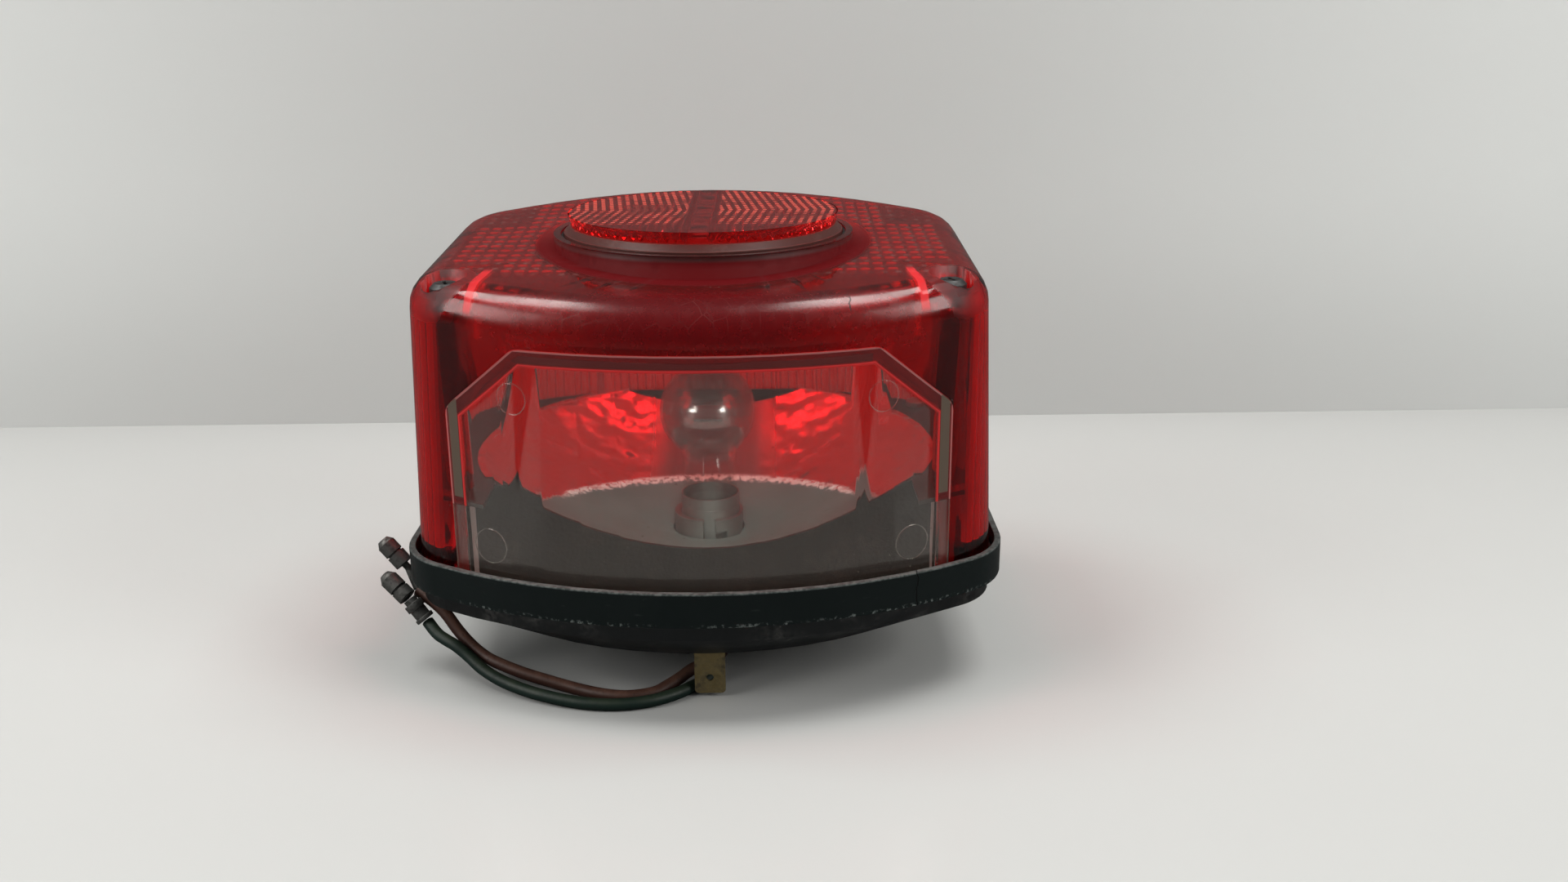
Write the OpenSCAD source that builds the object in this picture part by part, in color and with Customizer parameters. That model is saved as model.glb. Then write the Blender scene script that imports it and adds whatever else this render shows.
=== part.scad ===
// Motorcycle tail light, lying on its back with the lens up.
// Millimetres. Z = 0 is the table, X runs along the long side, -Y is the number plate window side.

/* [Lens] */
// width of the lens at its foot
lens_foot_w = 140; // [136:0.5:144]
// how much narrower the lens is at its face
lens_draft_w = 5.5; // [4:0.5:8]
// depth of the lens at its foot
lens_foot_d = 117; // [114:0.5:120]
// how much less deep the lens is at its face
lens_draft_d = 2; // [0:0.5:4]
// plan radius of the two long walls
end_radius = 115; // [110:1:120]
// plan radius of the corners
corner_radius = 17; // [16:0.5:18]
// wall of the lens moulding
wall = 2.6; // [2.4:0.1:2.8]
// rounding between the walls and the face
edge_round = 8; // [7:0.5:9]
// height of the lens foot over the bottom of the rim band
foot_h = 4.8; // [4.3:0.1:5.3]
// nominal height of the face
face_z = 102.4; // [102:0.1:103]
// rise of the face from the window side to the far side
face_tilt = 0.045; // [0.03:0.005:0.05]
// crown of the face in the middle
face_crown = 0.9; // [0.5:0.1:1.2]

/* [Reflector] */
// radius of the raised collar
collar_r = 37; // [36.5:0.1:37.5]
// rise of the collar over the nominal face
collar_h = 2.95; // [2.6:0.05:3.2]
// wall of the collar round the recess
collar_t = 1.7; // [1.5:0.1:1.9]
// depth of the recess in the collar
recess_d = 3.35; // [2.95:0.05:3.85]
// thickness of the lens below the recess
seat_t = 2.6; // [2.2:0.1:3]
// how far the plate below the reflector stands out round it
plate_rim = 1.5; // [1:0.1:2.5]
// rise of the reflector over the collar
disc_h = 4.65; // [3.65:0.1:5.65]
// thickness of it
disc_t = 2.65; // [2.4:0.05:3]
// width of the groove for the black ring
groove_w = 0.8; // [0.7:0.1:1.1]
// rise of the step on the plate over the collar
step_h = 0.35; // [0.05:0.05:0.65]
// depth of the black ring below the collar top
seal_drop = 0.45; // [0.15:0.05:0.95]
// gap each side of the black ring
seal_gap = 0.06; // [0.04:0.01:0.1]

/* [Window] */
// distance of the clear window from the side of the lens foot
window_in = 12; // [11.5:0.5:13]
// width of its chamfered corners
chamfer_w = 17.5; // [16:0.5:19]
// height of its chamfered corners
chamfer_h = 15.4; // [14:0.1:16.4]
// depth of its top edge below the nominal face
window_drop = 14.7; // [13.4:0.1:16.4]
// width of the ledge it is bonded to
ledge = 3.6; // [3.2:0.1:4]
// thickness of the front layer of the window
window_t = 1.2; // [1:0.1:1.3]
// gap round the window
window_gap = 0.15; // [0.1:0.05:0.2]
// rounding of its corners
window_round = 4; // [3.8:0.1:5]
// distance of the side slots' inner edge from the side of the window
slot_in = 3.1; // [2.8:0.1:3.2]
// height of the side slots
slot_h = 22; // [18:0.5:22]
// gap between the side slots and the posts
slot_gap = 2.2; // [1.8:0.1:2.4]

/* [Lens screws] */
// distance of a screw from the side of the lens face, along X
screw_in_x = 9.65; // [9.45:0.1:9.85]
// distance of a screw from the long wall beside it
screw_in_y = 8.7; // [8.6:0.05:9]
// radius of the screw pocket
pocket_r = 5.2; // [5:0.1:5.2]
// depth of the pocket floor below the nominal face
pocket_h = 6.7; // [6.6:0.1:7.1]
// wall round the pocket
pocket_wall = 1.6; // [1.5:0.1:1.7]
// radius of the post inside the lens
post_r = 4.5; // [4.2:0.1:4.7]
// gap between the post and the frame
post_gap = 0.2; // [0.1:0.05:0.5]
// radius of the screw shank
screw_r = 2; // [1.95:0.01:2]
// length of the screw below its head
screw_l = 60; // [56:1:62]
// radius of the screw head
head_r = 3.6; // [3.4:0.1:4]
// height of the screw head
head_h = 2.6; // [2.2:0.1:3]
// washer radius
washer_r = 4.4; // [4.2:0.1:4.5]
// washer thickness
washer_t = 0.8; // [0.6:0.1:0.9]
// clearance between the shank and the holes it turns in
thread_gap = 0.05; // [0.04:0.01:0.08]
// clearance between the shank and the holes it passes
pass_gap = 0.25; // [0.2:0.05:0.3]

/* [Base] */
// height of the straight side of the pan
side_h = 4.4; // [4.2:0.1:4.6]
// height of the rim band
rim_h = 8.5; // [7.8:0.1:9.8]
// gap between the lens foot and the rim band
rim_gap = 1.2; // [1.1:0.1:1.3]
// thickness of the rim band
rim_t = 1.6; // [1.4:0.1:1.8]
// width of the ledge inside the lens foot
web_w = 5; // [4.5:0.5:5.5]
// thickness of the soft seal under the lens foot
seal_t = 1; // [0.8:0.1:1.2]
// thickness of the pan
pan_t = 1.2; // [1.1:0.1:1.3]
// underside of the pan floor
pan_z = 12.6; // [12.4:0.1:12.8]
// height of the dished part of the pan
dish_h = 8.2; // [7.9:0.1:8.4]
// distance of the rounded pan floor from the side of the foot, along X
floor_in_w = 7.6; // [7.2:0.1:8.2]
// distance of the rounded pan floor from the side of the foot, along Y
floor_in_d = 10.1; // [9.7:0.1:10.5]
// height of the bosses that carry the pillars
boss_h = 9.4; // [8.4:0.1:9.9]
// radius of those bosses
boss_r = 5; // [4.6:0.1:5.2]
// gap between pieces that bear on each other
fit_gap = 0.05; // [0.02:0.01:0.08]

/* [Mounting] */
// distance of the mounting pad's edge from the floor's edge
pad_in = 2.4; // [1.4:0.5:4.4]
// thickness of the mounting pad
pad_t = 1.4; // [1.2:0.1:1.6]
// radius of the opening in the pad
pad_hole_r = 20; // [18:0.5:22]
// radius of a mounting stud
stud_r = 3; // [2.9:0.05:3]
// distance of the studs' circle from the pad's edge
stud_in = 11; // [11:0.5:12]
// shift of that circle away from the window
stud_shift = 5.5; // [5:0.5:6]
// radius of a stud head
stud_head_r = 5.5; // [5:0.1:6]
// clearance of the stud holes
stud_gap = 0.1; // [0.05:0.01:0.2]
// width of the earth tab
tab_w = 7.4; // [7:0.1:8]
// shift of the tab from the middle
tab_x = 1.1; // [0.5:0.1:1.5]
// thickness of the tab
tab_t = 0.8; // [0.7:0.05:0.9]
// distance of the tab's front face from the floor's edge
tab_in = 1.6; // [1.4:0.1:2]
// height of the tab bottom
tab_z = 1.2; // [1:0.1:2]
// radius of the hole in the tab
tab_hole_r = 0.9; // [0.8:0.05:1]
// height of the hole in the tab
tab_hole_z = 5.3; // [5:0.1:6]

/* [Bowl and frame] */
// height of the bottom of the parabola
bowl_z = 25.6; // [25.4:0.1:25.8]
// thickness of the bowl
bowl_t = 0.6; // [0.5:0.1:0.8]
// radius of the hole for the bulb
bowl_hole_r = 9.8; // [9.6:0.1:10.2]
// distance of the bowl's rim from the long walls at the middle
bowl_in = 2; // [1.9:0.1:2.3]
// width of the lip that lies on the frame
lip_w = 1.8; // [1.6:0.1:2]
// distance of its cut on the window side from the line of the screws
cut_in = 8.3; // [8.3:0.1:8.8]
// distance of its cut on the far side from the lens foot
back_in = 7.9; // [7.9:0.1:8.5]
// top of the frame
frame_z = 48.9; // [48.8:0.05:48.95]
// thickness of the frame
frame_t = 1; // [0.8:0.1:1.1]
// gap between the frame and the lens
frame_gap = 0.8; // [0.7:0.1:1.2]
// bottom of the apron
apron_z = 18; // [17.5:0.1:19]
// gap between the apron's side and the line of the window's side
apron_in = 0; // [-0.5:0.5:2]
// radius of the pillars
pillar_r = 3.5; // [3.3:0.1:3.8]
// radius of the frame screws
frame_screw_r = 1.5; // [1.4:0.05:1.5]
// length of the frame screws below the frame's top
frame_screw_l = 12; // [10:1:14]
// radius of their heads
frame_head_r = 2.8; // [2.6:0.1:3]
// height of their heads
frame_head_h = 1.6; // [1.4:0.1:2]
// width of the frame's side from the screw to the window's opening
frame_side = 7.6; // [7:0.1:8]
// bottom of the frame's plate on the far side
back_low = 32; // [30:1:34]

/* [Bulb] */
// radius of the globe
globe_r = 12.5; // [12:0.1:12.8]
// height of the centre of the globe
globe_z = 58.3; // [57:0.1:59]
// thickness of the glass
glass_t = 0.7; // [0.6:0.05:0.9]
// radius of the cap
cap_r = 7.5; // [7.4:0.05:7.55]
// height of the bottom of the cap
cap_z = 19.5; // [19.4:0.1:19.6]
// height of the top of the cap
cap_top_z = 36; // [35:0.1:37]
// height of the bayonet pins
pin_z = 26.5; // [26.3:0.1:26.7]
// radius of the bayonet pins
pin_r = 1; // [0.9:0.05:1]
// reach of the pins from the axis
pin_reach = 8.75; // [8.5:0.05:8.9]
// distance of a contact from the axis
contact_x = 3.2; // [3:0.1:3.4]
// radius of a bulb contact
contact_r = 1.8; // [1.6:0.1:2]
// height of the glass stem in the bulb
stem_h = 18; // [16:0.5:18.5]
// radius of the stem
stem_r = 2.6; // [2.4:0.1:2.8]
// thickness of the insulator in the cap
insulator_t = 3; // [2.5:0.1:3]

/* [Holder] */
// outer radius of the holder
cup_r = 9.3; // [9.2:0.1:9.4]
// inner radius of the holder
bore_r = 7.7; // [7.65:0.05:7.8]
// height of the holder bottom
cup_z = 6; // [5.8:0.1:6.2]
// height of the holder top
cup_top_z = 31; // [30.5:0.1:31.2]
// thickness of the holder bottom
cup_t = 1; // [0.8:0.1:1]
// radius of the holder flange
flange_r = 16; // [15.5:0.1:16.5]
// distance of a holder rivet from the axis
rivet_x = 12.5; // [12.2:0.1:12.8]
// radius of a holder rivet
rivet_r = 1.5; // [1.4:0.1:1.6]
// radius of its heads
rivet_head_r = 2.6; // [2.4:0.1:2.8]
// turn of the bulb between its lock and its way out
turn = 18; // [16:1:20]
// travel of the sprung plate
travel = 2; // [1.5:0.1:2]
// height of the underside of the sprung plate
plate_low_z = 15.9; // [15.8:0.1:16]
// thickness of the sprung plate
plate_t = 2; // [1.8:0.1:2]
// radius of the sprung plate
plate_rr = 7.5; // [7.4:0.05:7.55]
// radius of the contact spring
coil_r = 5.6; // [5.3:0.1:5.8]
// radius of the spring wire
coil_wire_r = 0.4; // [0.35:0.05:0.4]
// turns of the contact spring
coil_turns = 3.48; // [3.4:0.02:3.5]
// height of the two leads where they leave the holder
lead_z = 8.5; // [8.4:0.1:8.6]
// half the distance between the leads
lead_x = 2; // [1.9:0.1:2]
// radius of a lead inside the holder
lead_r = 0.5; // [0.4:0.05:0.5]
// radius of the rubber bush round a lead
bush_r = 2.2; // [2.1:0.05:2.3]
// length of a lead along Y
lead_l = 7; // [6.6:0.1:7]
// outer face of the bush
bush_y = -9.8; // [-10:0.1:-9.7]

/* [Wires] */
// radius of the two wires
wire_r = 1.5; // [1.3:0.1:1.5]
// radius of the bullet connectors
bullet_r = 2.35; // [2.2:0.05:2.4]

/* [Detail] */
// steps in a plan corner
corner_steps = 8; // [4:1:10]
// steps in a plan end
end_steps = 7; // [4:1:10]
// degrees between rings of the rounding
round_step = 15; // [10:5:30]
// segments of round pieces
round_fn = 64; // [48:8:96]
// steps along the parabola
bowl_steps = 14; // [8:1:20]
// sides of a wire
wire_sides = 8; // [8:2:12]
// steps in a turn of the spring
coil_steps = 20; // [16:2:24]

/* [Hidden] */

// plan half sizes of the lens foot
foot_hw = lens_foot_w / 2;
foot_hd = lens_foot_d / 2;
// plan half sizes of the lens where the rounding starts
top_hw = (lens_foot_w - lens_draft_w) / 2;
top_hd = (lens_foot_d - lens_draft_d) / 2;
// heights of the base, from the pan up
step_z = pan_z + dish_h;
rim_z = step_z + side_h;
rim_top_z = rim_z + rim_h;
boss_z = pan_z + boss_h;
foot_z = rim_z + foot_h;
// heights of the collar, the reflector and what is round it
collar_z = face_z + collar_h;
recess_z = collar_z - recess_d;
seat_z = recess_z - seat_t;
disc_z = collar_z + disc_h;
plate_z = collar_z + step_h;
seal_z = collar_z - seal_drop;
recess_r = collar_r - collar_t;
plate_r = recess_r - groove_w;
disc_r = plate_r - plate_rim;
// the window
window_w = foot_hw - window_in;
window_top_w = window_w - chamfer_w;
window_top_z = face_z - window_drop;
window_side_z = window_top_z - chamfer_h;
slot_x = window_w - slot_in;
// the screws and what they go through
screw_x = top_hw - screw_in_x;
screw_y = round(10 * (wall_y(screw_x) - screw_in_y)) / 10;
pocket_z = face_z - pocket_h;
post_z = frame_z + post_gap;
slot_z = post_z;
// the bowl between the lens walls, and the width of its parabola, radius squared over height
bowl_r = foot_hd - bowl_in;
bowl_cut = screw_y - cut_in;
bowl_back = foot_hd - back_in;
bowl_k = round(bowl_r * bowl_r / (frame_z - bowl_z));
apron_w = window_w - apron_in;
// the pan floor, the pad and what is on them
floor_w = foot_hw - floor_in_w;
floor_d = foot_hd - floor_in_d;
pad_r = floor_d - pad_in;
stud_circle_r = pad_r - stud_in;
tab_y = tab_in - floor_d;
big = 200;
tiny = 0.01;
// screw head underside and screw end
head_z = pocket_z + washer_t;
screw_end_z = head_z - screw_l;
// ledge under the lens foot
web_top_z = foot_z - seal_t;
// top of the pan flange
flange_z = rim_z + pan_t;
// inside floor of the pan
inside_z = pan_z + pan_t;
// height of the pillars
pillar_top_z = frame_z - frame_t;
// centre line of each wire, hand chosen from where it shows in the photograph
brown_route = [[2, -9.8, 8.5], [2, -14, 8.5], [2, -18.5, 8.5], [2.6, -23, 8.3], [3.6, -28, 7.6],
               [4, -32, 6.8], [3.2, -36, 6], [0.4, -38.9, 5.4], [-3.4, -40.8, 4.6],
               [-6.4, -42.9, 3.3], [-9.4, -44.8, 2.2], [-12.6, -46.9, 1.5], [-18.7, -48.5, 1.5],
               [-25.1, -47.3, 1.5], [-31.8, -44.4, 1.6], [-38.3, -42.2, 2.5], [-44.9, -40, 3.6],
               [-51.8, -37, 5], [-55.8, -34.6, 6.2], [-59.3, -32.4, 8.3], [-62.4, -30.4, 11.1],
               [-65.4, -28.6, 14.6], [-68.8, -27, 17.2], [-72.6, -25, 19]];
green_route = [[-2, -9.8, 8.5], [-2, -14, 8.5], [-2, -18, 8.2], [-1.6, -22, 7.2],
               [-0.6, -26, 5.8], [0.8, -30, 4.3], [1.8, -34, 3], [1.6, -38, 2],
               [-0.7, -41.2, 1.6], [-3.4, -43.9, 1.5], [-6.8, -47.2, 1.5], [-12.3, -50.6, 1.5],
               [-18.4, -52.2, 1.5], [-24.5, -52.3, 1.5], [-30.9, -51, 1.5], [-37.4, -48.8, 1.8],
               [-42.4, -46.5, 2], [-47.5, -43.6, 2.4], [-51.5, -41.3, 3.2], [-55.1, -39, 4.5],
               [-58.6, -36.6, 6.6], [-61.7, -35, 8.5], [-64.4, -33.6, 9.5], [-67, -32, 10.6],
               [-69.6, -29.8, 12.8]];
// ends of the metal connectors
brown_tail = [-75.3, -22, 24];
brown_tip = [-81.9, -20, 31];
green_mid = [-74, -28.6, 18.4];
green_tip = [-80.6, -25.6, 23.9];

function unit(v) = v / norm(v);

// Y of the long wall at x, where the lens face begins to round.
function wall_y(x) = top_hd - end_radius + sqrt(end_radius * end_radius - x * x);

// A quarter of the plan outline: a corner arc, then half of the long wall.
function quarter(hw, hd, r, b) =
    let (cx = hw - r, by = hd - b, cy = by + sqrt((b - r) * (b - r) - cx * cx),
         a0 = atan2(cy - by, cx))
    concat([for (i = [0 : corner_steps]) let (a = a0 * i / corner_steps) [cx + r * cos(a), cy + r * sin(a)]],
           [for (i = [1 : end_steps]) let (a = a0 + (90 - a0) * i / end_steps) [b * cos(a), by + b * sin(a)]]);

// The closed plan outline, anticlockwise.
function outline(hw, hd, inset) =
    let (q = quarter(hw - inset, hd - inset, corner_radius - inset, end_radius - inset),
         n = len(q))
    concat(q, [for (i = [n - 2 : -1 : 0]) [-q[i][0], q[i][1]]],
           [for (p = q) [-p[0], -p[1]]], [for (i = [n - 2 : -1 : 0]) [q[i][0], -q[i][1]]]);

function foot_outline(inset) = outline(foot_hw, foot_hd, inset);

// Height of the crowned, sloping face of the lens.
function face_at(p) =
    face_z + face_tilt * p[1]
    + (1 - pow(p[0] / top_hw, 2)) * (face_crown + face_tilt * p[1]);

// A ring of the rounded edge, depth d below the outer skin, angle a round the edge.
function edge_ring(a, d) =
    let (r = edge_round - d, o = outline(top_hw, top_hd, d + r * (1 - cos(a))))
    [for (p = o) [p[0], p[1], face_at(p) - d - r * (1 - sin(a))]];

// A ring of the face, shrunk towards the middle.
function face_ring(s, d) =
    [for (p = outline(top_hw, top_hd, edge_round)) [p[0] * s, p[1] * s, face_at(p * s) - d]];

function flat_ring(hw, hd, inset, z) = [for (p = outline(hw, hd, inset)) [p[0], p[1], z]];

// Rings of the lens skin at depth d, from height z up.
function lens_rings(d, z) =
    concat([flat_ring(foot_hw, foot_hd, d, z)],
           [for (a = [0 : round_step : 90]) edge_ring(a, d)],
           [face_ring(0.66, d), face_ring(0.33, d)]);

// Points of a rounded corner at b between a and c.
function corner(a, b, c, r) =
    let (u = unit(a - b), w = unit(c - b), half = acos(u * w) / 2,
         o = b + unit(u + w) * r / sin(half), s = b + u * r / tan(half),
         e = b + w * r / tan(half), a0 = atan2(s[1] - o[1], s[0] - o[0]),
         a1 = atan2(e[1] - o[1], e[0] - o[0]), da = (a1 - a0 + 540) % 360 - 180)
    [for (i = [0 : 3]) o + r * [cos(a0 + da * i / 3), sin(a0 + da * i / 3)]];

// Outline of the window seen from the front, drawn in by d.
function window_outline(d) =
    let (w = window_w - d, t = window_top_w - d * 0.45, s = window_side_z - d * 0.45,
         z = window_top_z - d, r = window_round - d * 0.6, low = foot_z - 4)
    concat([[-w, low], [w, low]], corner([w, low], [w, s], [t, z], r),
           corner([w, s], [t, z], [-t, z], r), corner([t, z], [-t, z], [-w, s], r),
           corner([-t, z], [-w, s], [-w, low], r));

// Height of the bowl surface at radius r.
function bowl_at(r) = bowl_z + r * r / bowl_k;

// Closed skin through rings of points, each ring anticlockwise and above the last.
module loft(rings, low, high) {
    m = len(rings[0]);
    n = len(rings);
    points = concat([for (r = rings) each r], [low, high]);
    sides = [for (k = [0 : n - 2]) for (i = [0 : m - 1])
             let (a = k * m + i, b = k * m + (i + 1) % m) each [[a, a + m, b + m], [a, b + m, b]]];
    caps = [for (i = [0 : m - 1])
            let (b = (i + 1) % m, t = (n - 1) * m) each [[i, b, n * m], [t + b, t + i, n * m + 1]]];
    polyhedron(points, concat(sides, caps), 4);
}

module lens_skin(d, z) {
    loft(lens_rings(d, z), [0, 0, z], [0, 0, face_at([0, 0]) - d]);
}

// The dished pan: a rounded floor at height z, drawn in by d, then the plan outline at each section.
module pan_loft(z, d, sections) {
    floor_ring = [for (p = foot_outline(0)) let (t = atan2(p[1] / foot_hd, p[0] / foot_hw))
                  [(floor_w - d) * cos(t), (floor_d - d) * sin(t), z]];
    loft(concat([floor_ring], [for (s = sections) flat_ring(foot_hw, foot_hd, s[1], s[0])]),
         [0, 0, z], [0, 0, sections[len(sections) - 1][0]]);
}

module pan_skin() {
    pan_loft(pan_z, 0, [[step_z, 0], [rim_z, 0], [rim_z + tiny, -rim_gap + 0.1], [flange_z, -rim_gap + 0.1]]);
}

module slab(inset, z, h) {
    translate([0, 0, z]) linear_extrude(h) polygon(foot_outline(inset));
}

// The window outline as a block through the front wall.
module window_block(d) {
    translate([0, -20, 0]) rotate([90, 0, 0]) linear_extrude(60) polygon(window_outline(d));
}

module rod(x, y, z, h, r) {
    translate([x, y, z]) cylinder(h = h, r = r, $fn = round_fn);
}

module at_screws(y_sign) {
    for (s = [-1, 1]) translate([s * screw_x, y_sign * screw_y, 0]) children();
}

// Place children so that +Z runs from p to q.
module along(p, q) {
    d = q - p;
    translate(p) rotate([0, acos(d[2] / norm(d)), atan2(d[1], d[0])]) children();
}

// A tube skin along a list of points.
module sweep(path, r, sides) {
    n = len(path);
    rings = [for (i = [0 : n - 1])
             let (t = unit(path[min(i + 1, n - 1)] - path[max(i - 1, 0)]),
                  s = unit(cross(t, [0, 0, 1])), u = cross(s, t))
             [for (k = [0 : sides - 1]) let (a = 360 * (k + 0.5) / sides)
              path[i] + r * (cos(a) * s - sin(a) * u)]];
    loft(rings, path[0], path[n - 1]);
}

module lens_shell() {
    color([0.7, 0.05, 0.06, 0.8]) difference() {
        union() {
            difference() {
                lens_skin(0, foot_z);
                lens_skin(wall, foot_z - 1);
            }
            rod(0, 0, seat_z, collar_z - seat_z, collar_r);
            intersection() {
                lens_skin(0, foot_z);
                at_screws(-1) union() {
                    rod(0, 0, post_z, pocket_z - post_z, post_r);
                    rod(0, 0, pocket_z - wall, 12, pocket_r + pocket_wall);
                }
            }
        }
        rod(0, 0, recess_z, 20, recess_r);
        at_screws(-1) rod(0, 0, pocket_z, 20, pocket_r);
        at_screws(-1) rod(0, 0, post_z - 1, 60, screw_r + pass_gap);
        difference() {
            window_block(0);
            lens_skin(window_t + window_gap, foot_z - 5);
        }
        window_block(ledge);
        for (s = [-1, 1]) translate([s > 0 ? slot_x : -window_w + 0.3, -90, slot_z])
            cube([window_w - 0.3 - slot_x, 90 - screw_y - post_r - slot_gap, slot_h]);
    }
}

module number_plate_window() {
    color([0.85, 0.85, 0.85, 0.35]) union() {
        difference() {
            intersection() {
                lens_skin(0, foot_z);
                window_block(window_gap);
            }
            lens_skin(window_t, foot_z - 5);
        }
        difference() {
            intersection() {
                lens_skin(window_t - tiny, foot_z);
                window_block(ledge + window_gap);
            }
            lens_skin(wall, foot_z - 5);
        }
    }
}

module reflex_reflector() {
    color([0.75, 0.05, 0.06]) union() {
        rod(0, 0, disc_z - disc_t, disc_t - 0.5, disc_r);
        translate([0, 0, disc_z - 0.5]) cylinder(h = 0.5, r1 = disc_r, r2 = disc_r - 0.4, $fn = round_fn);
    }
}

module reflector_backplate() {
    low = recess_z + fit_gap;
    high = disc_z - disc_t - fit_gap;
    color([0.35, 0.16, 0.15]) union() {
        rod(0, 0, low, plate_z - low, plate_r);
        translate([0, 0, plate_z])
            cylinder(h = high - plate_z, r1 = plate_r - 0.4, r2 = disc_r - 0.1, $fn = round_fn);
    }
}

module reflector_seal() {
    color([0.05, 0.05, 0.05]) difference() {
        rod(0, 0, recess_z + fit_gap, seal_z - recess_z - fit_gap, recess_r - seal_gap);
        rod(0, 0, recess_z, 10, plate_r + seal_gap);
    }
}

module lens_screw(x) {
    color([0.55, 0.56, 0.57]) difference() {
        union() {
            rod(x, -screw_y, screw_end_z, screw_l + tiny, screw_r);
            rod(x, -screw_y, head_z, head_h * 0.6, head_r);
            translate([x, -screw_y, head_z + head_h * 0.6])
                cylinder(h = head_h * 0.4, r1 = head_r, r2 = head_r * 0.7, $fn = round_fn);
        }
        translate([x, -screw_y, head_z + head_h]) for (a = [20, 110]) rotate([0, 0, a])
            cube([head_r * 1.2, 0.9, 2.4], center = true);
    }
}

module lens_screw_left() {
    lens_screw(-screw_x);
}

module lens_screw_right() {
    lens_screw(screw_x);
}

module screw_washer(x) {
    color([0.5, 0.5, 0.5]) difference() {
        rod(x, -screw_y, pocket_z + fit_gap, washer_t - 2 * fit_gap, washer_r);
        rod(x, -screw_y, pocket_z - 1, 4, screw_r + pass_gap);
    }
}

module screw_washer_left() {
    screw_washer(-screw_x);
}

module screw_washer_right() {
    screw_washer(screw_x);
}

// Room round the pillars in the ledge and its seal.
module pillar_room() {
    for (t = [-1, 1]) at_screws(t) rod(0, 0, rim_z, 10, pillar_r + 0.3);
}

module base_rim() {
    color([0.08, 0.1, 0.1]) union() {
        difference() {
            slab(-rim_gap - rim_t, rim_z, rim_top_z - rim_z);
            slab(-rim_gap, rim_z - 1, 20);
        }
        difference() {
            slab(-rim_gap - tiny, flange_z + fit_gap, web_top_z - flange_z - 2 * fit_gap);
            slab(web_w, flange_z, 10);
            pillar_room();
        }
    }
}

module lens_gasket() {
    color([0.06, 0.06, 0.06]) difference() {
        slab(-rim_gap + 0.3, web_top_z, seal_t - fit_gap);
        slab(web_w, web_top_z - 1, 5);
        pillar_room();
    }
}

module base_pan() {
    color([0.15, 0.16, 0.16]) difference() {
        union() {
            difference() {
                pan_skin();
                pan_loft(inside_z, 0.4, [[step_z + 0.6, pan_t], [flange_z + 1, pan_t]]);
            }
            intersection() {
                pan_skin();
                for (t = [-1, 1]) at_screws(t) rod(0, 0, pan_z, boss_z - pan_z, boss_r);
            }
        }
        rod(0, 0, pan_z - 1, 4, cup_r + 0.15);
        for (s = [-1, 1]) rod(s * rivet_x, 0, pan_z - 1, 4, rivet_r + 0.1);
        at_studs() rod(0, 0, pan_z - 1, 4, stud_r + stud_gap);
        rod(tab_x, tab_y + 4.8, pan_z - 1, 4, 1.3);
    }
}

module at_studs() {
    for (a = [90, 210, 330])
        translate([stud_circle_r * cos(a), stud_shift + stud_circle_r * sin(a), 0]) children();
}

module mount_pad() {
    color([0.04, 0.04, 0.04]) difference() {
        rod(0, 0, pan_z - pad_t, pad_t - fit_gap, pad_r);
        rod(0, 0, pan_z - 5, 10, pad_hole_r);
        at_studs() rod(0, 0, pan_z - 5, 10, stud_r + 0.3);
        translate([tab_x - tab_w / 2 - 1, -pad_r - 4, pan_z - 5])
            cube([tab_w + 2, pad_r + 10 - pad_hole_r, 10]);
    }
}

module silver_bowl() {
    top = bowl_at(bowl_r);
    step = (bowl_r - bowl_hole_r) / bowl_steps;
    inner = [for (i = [0 : bowl_steps]) let (r = bowl_hole_r + step * i) [r, bowl_at(r)]];
    outer = [for (p = inner) [p[0] + 0.2, p[1] - bowl_t]];
    n = len(inner);
    color([0.75, 0.75, 0.73]) intersection() {
        rotate_extrude($fn = 96) polygon(concat(inner,
            [[bowl_r, frame_z + bowl_t], [bowl_r + lip_w, frame_z + bowl_t], [bowl_r + lip_w, frame_z + fit_gap],
             [bowl_r + 0.2, frame_z + fit_gap]],
            [for (i = [n - 1 : -1 : 0]) outer[i]]));
        translate([-90, -bowl_cut, 0]) cube([180, bowl_cut + bowl_back, 90]);
    }
}

// The apron below the cut edge of the bowl, w either side of the middle.
module apron(y, w, low) {
    edge = [for (i = [-12 : 12]) let (x = w * i / 12) [x, min(bowl_at(norm([x, y])), frame_z - tiny)]];
    translate([0, y + frame_t / 2, 0]) rotate([90, 0, 0]) linear_extrude(frame_t)
        polygon(concat([[w, low], [-w, low]], edge));
}

module bowl_frame() {
    hole_r = bowl_r + 0.5;
    back_hw = ceil(sqrt(max(1, hole_r * hole_r - pow(bowl_back + 0.3, 2))) + 0.2);
    front_hw = screw_x - frame_side;
    color([0.16, 0.16, 0.16]) difference() {
        union() {
            difference() {
                slab(wall + frame_gap + 0.5, pillar_top_z, frame_t);
                rod(0, 0, pillar_top_z - 1, 5, hole_r);
                translate([-front_hw, -90, pillar_top_z - 1]) cube([2 * front_hw, 90 - bowl_cut - 0.3, 5]);
            }
            apron(-bowl_cut - 0.3 - frame_t / 2, max(apron_w, sqrt(hole_r * hole_r - bowl_cut * bowl_cut) + 2), apron_z);
            translate([-back_hw, bowl_back + 0.3, back_low]) cube([2 * back_hw, frame_t, frame_z - back_low]);
        }
        at_screws(-1) rod(0, 0, pillar_top_z - 1, 5, screw_r + 0.3);
        at_screws(1) rod(0, 0, pillar_top_z - 1, 5, frame_screw_r + 0.2);
    }
}

module screw_pillars() {
    color([0.5, 0.5, 0.5]) at_screws(-1) difference() {
        rod(0, 0, boss_z, pillar_top_z - boss_z - fit_gap, pillar_r);
        rod(0, 0, boss_z + 4, 40, screw_r + thread_gap);
    }
}

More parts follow.
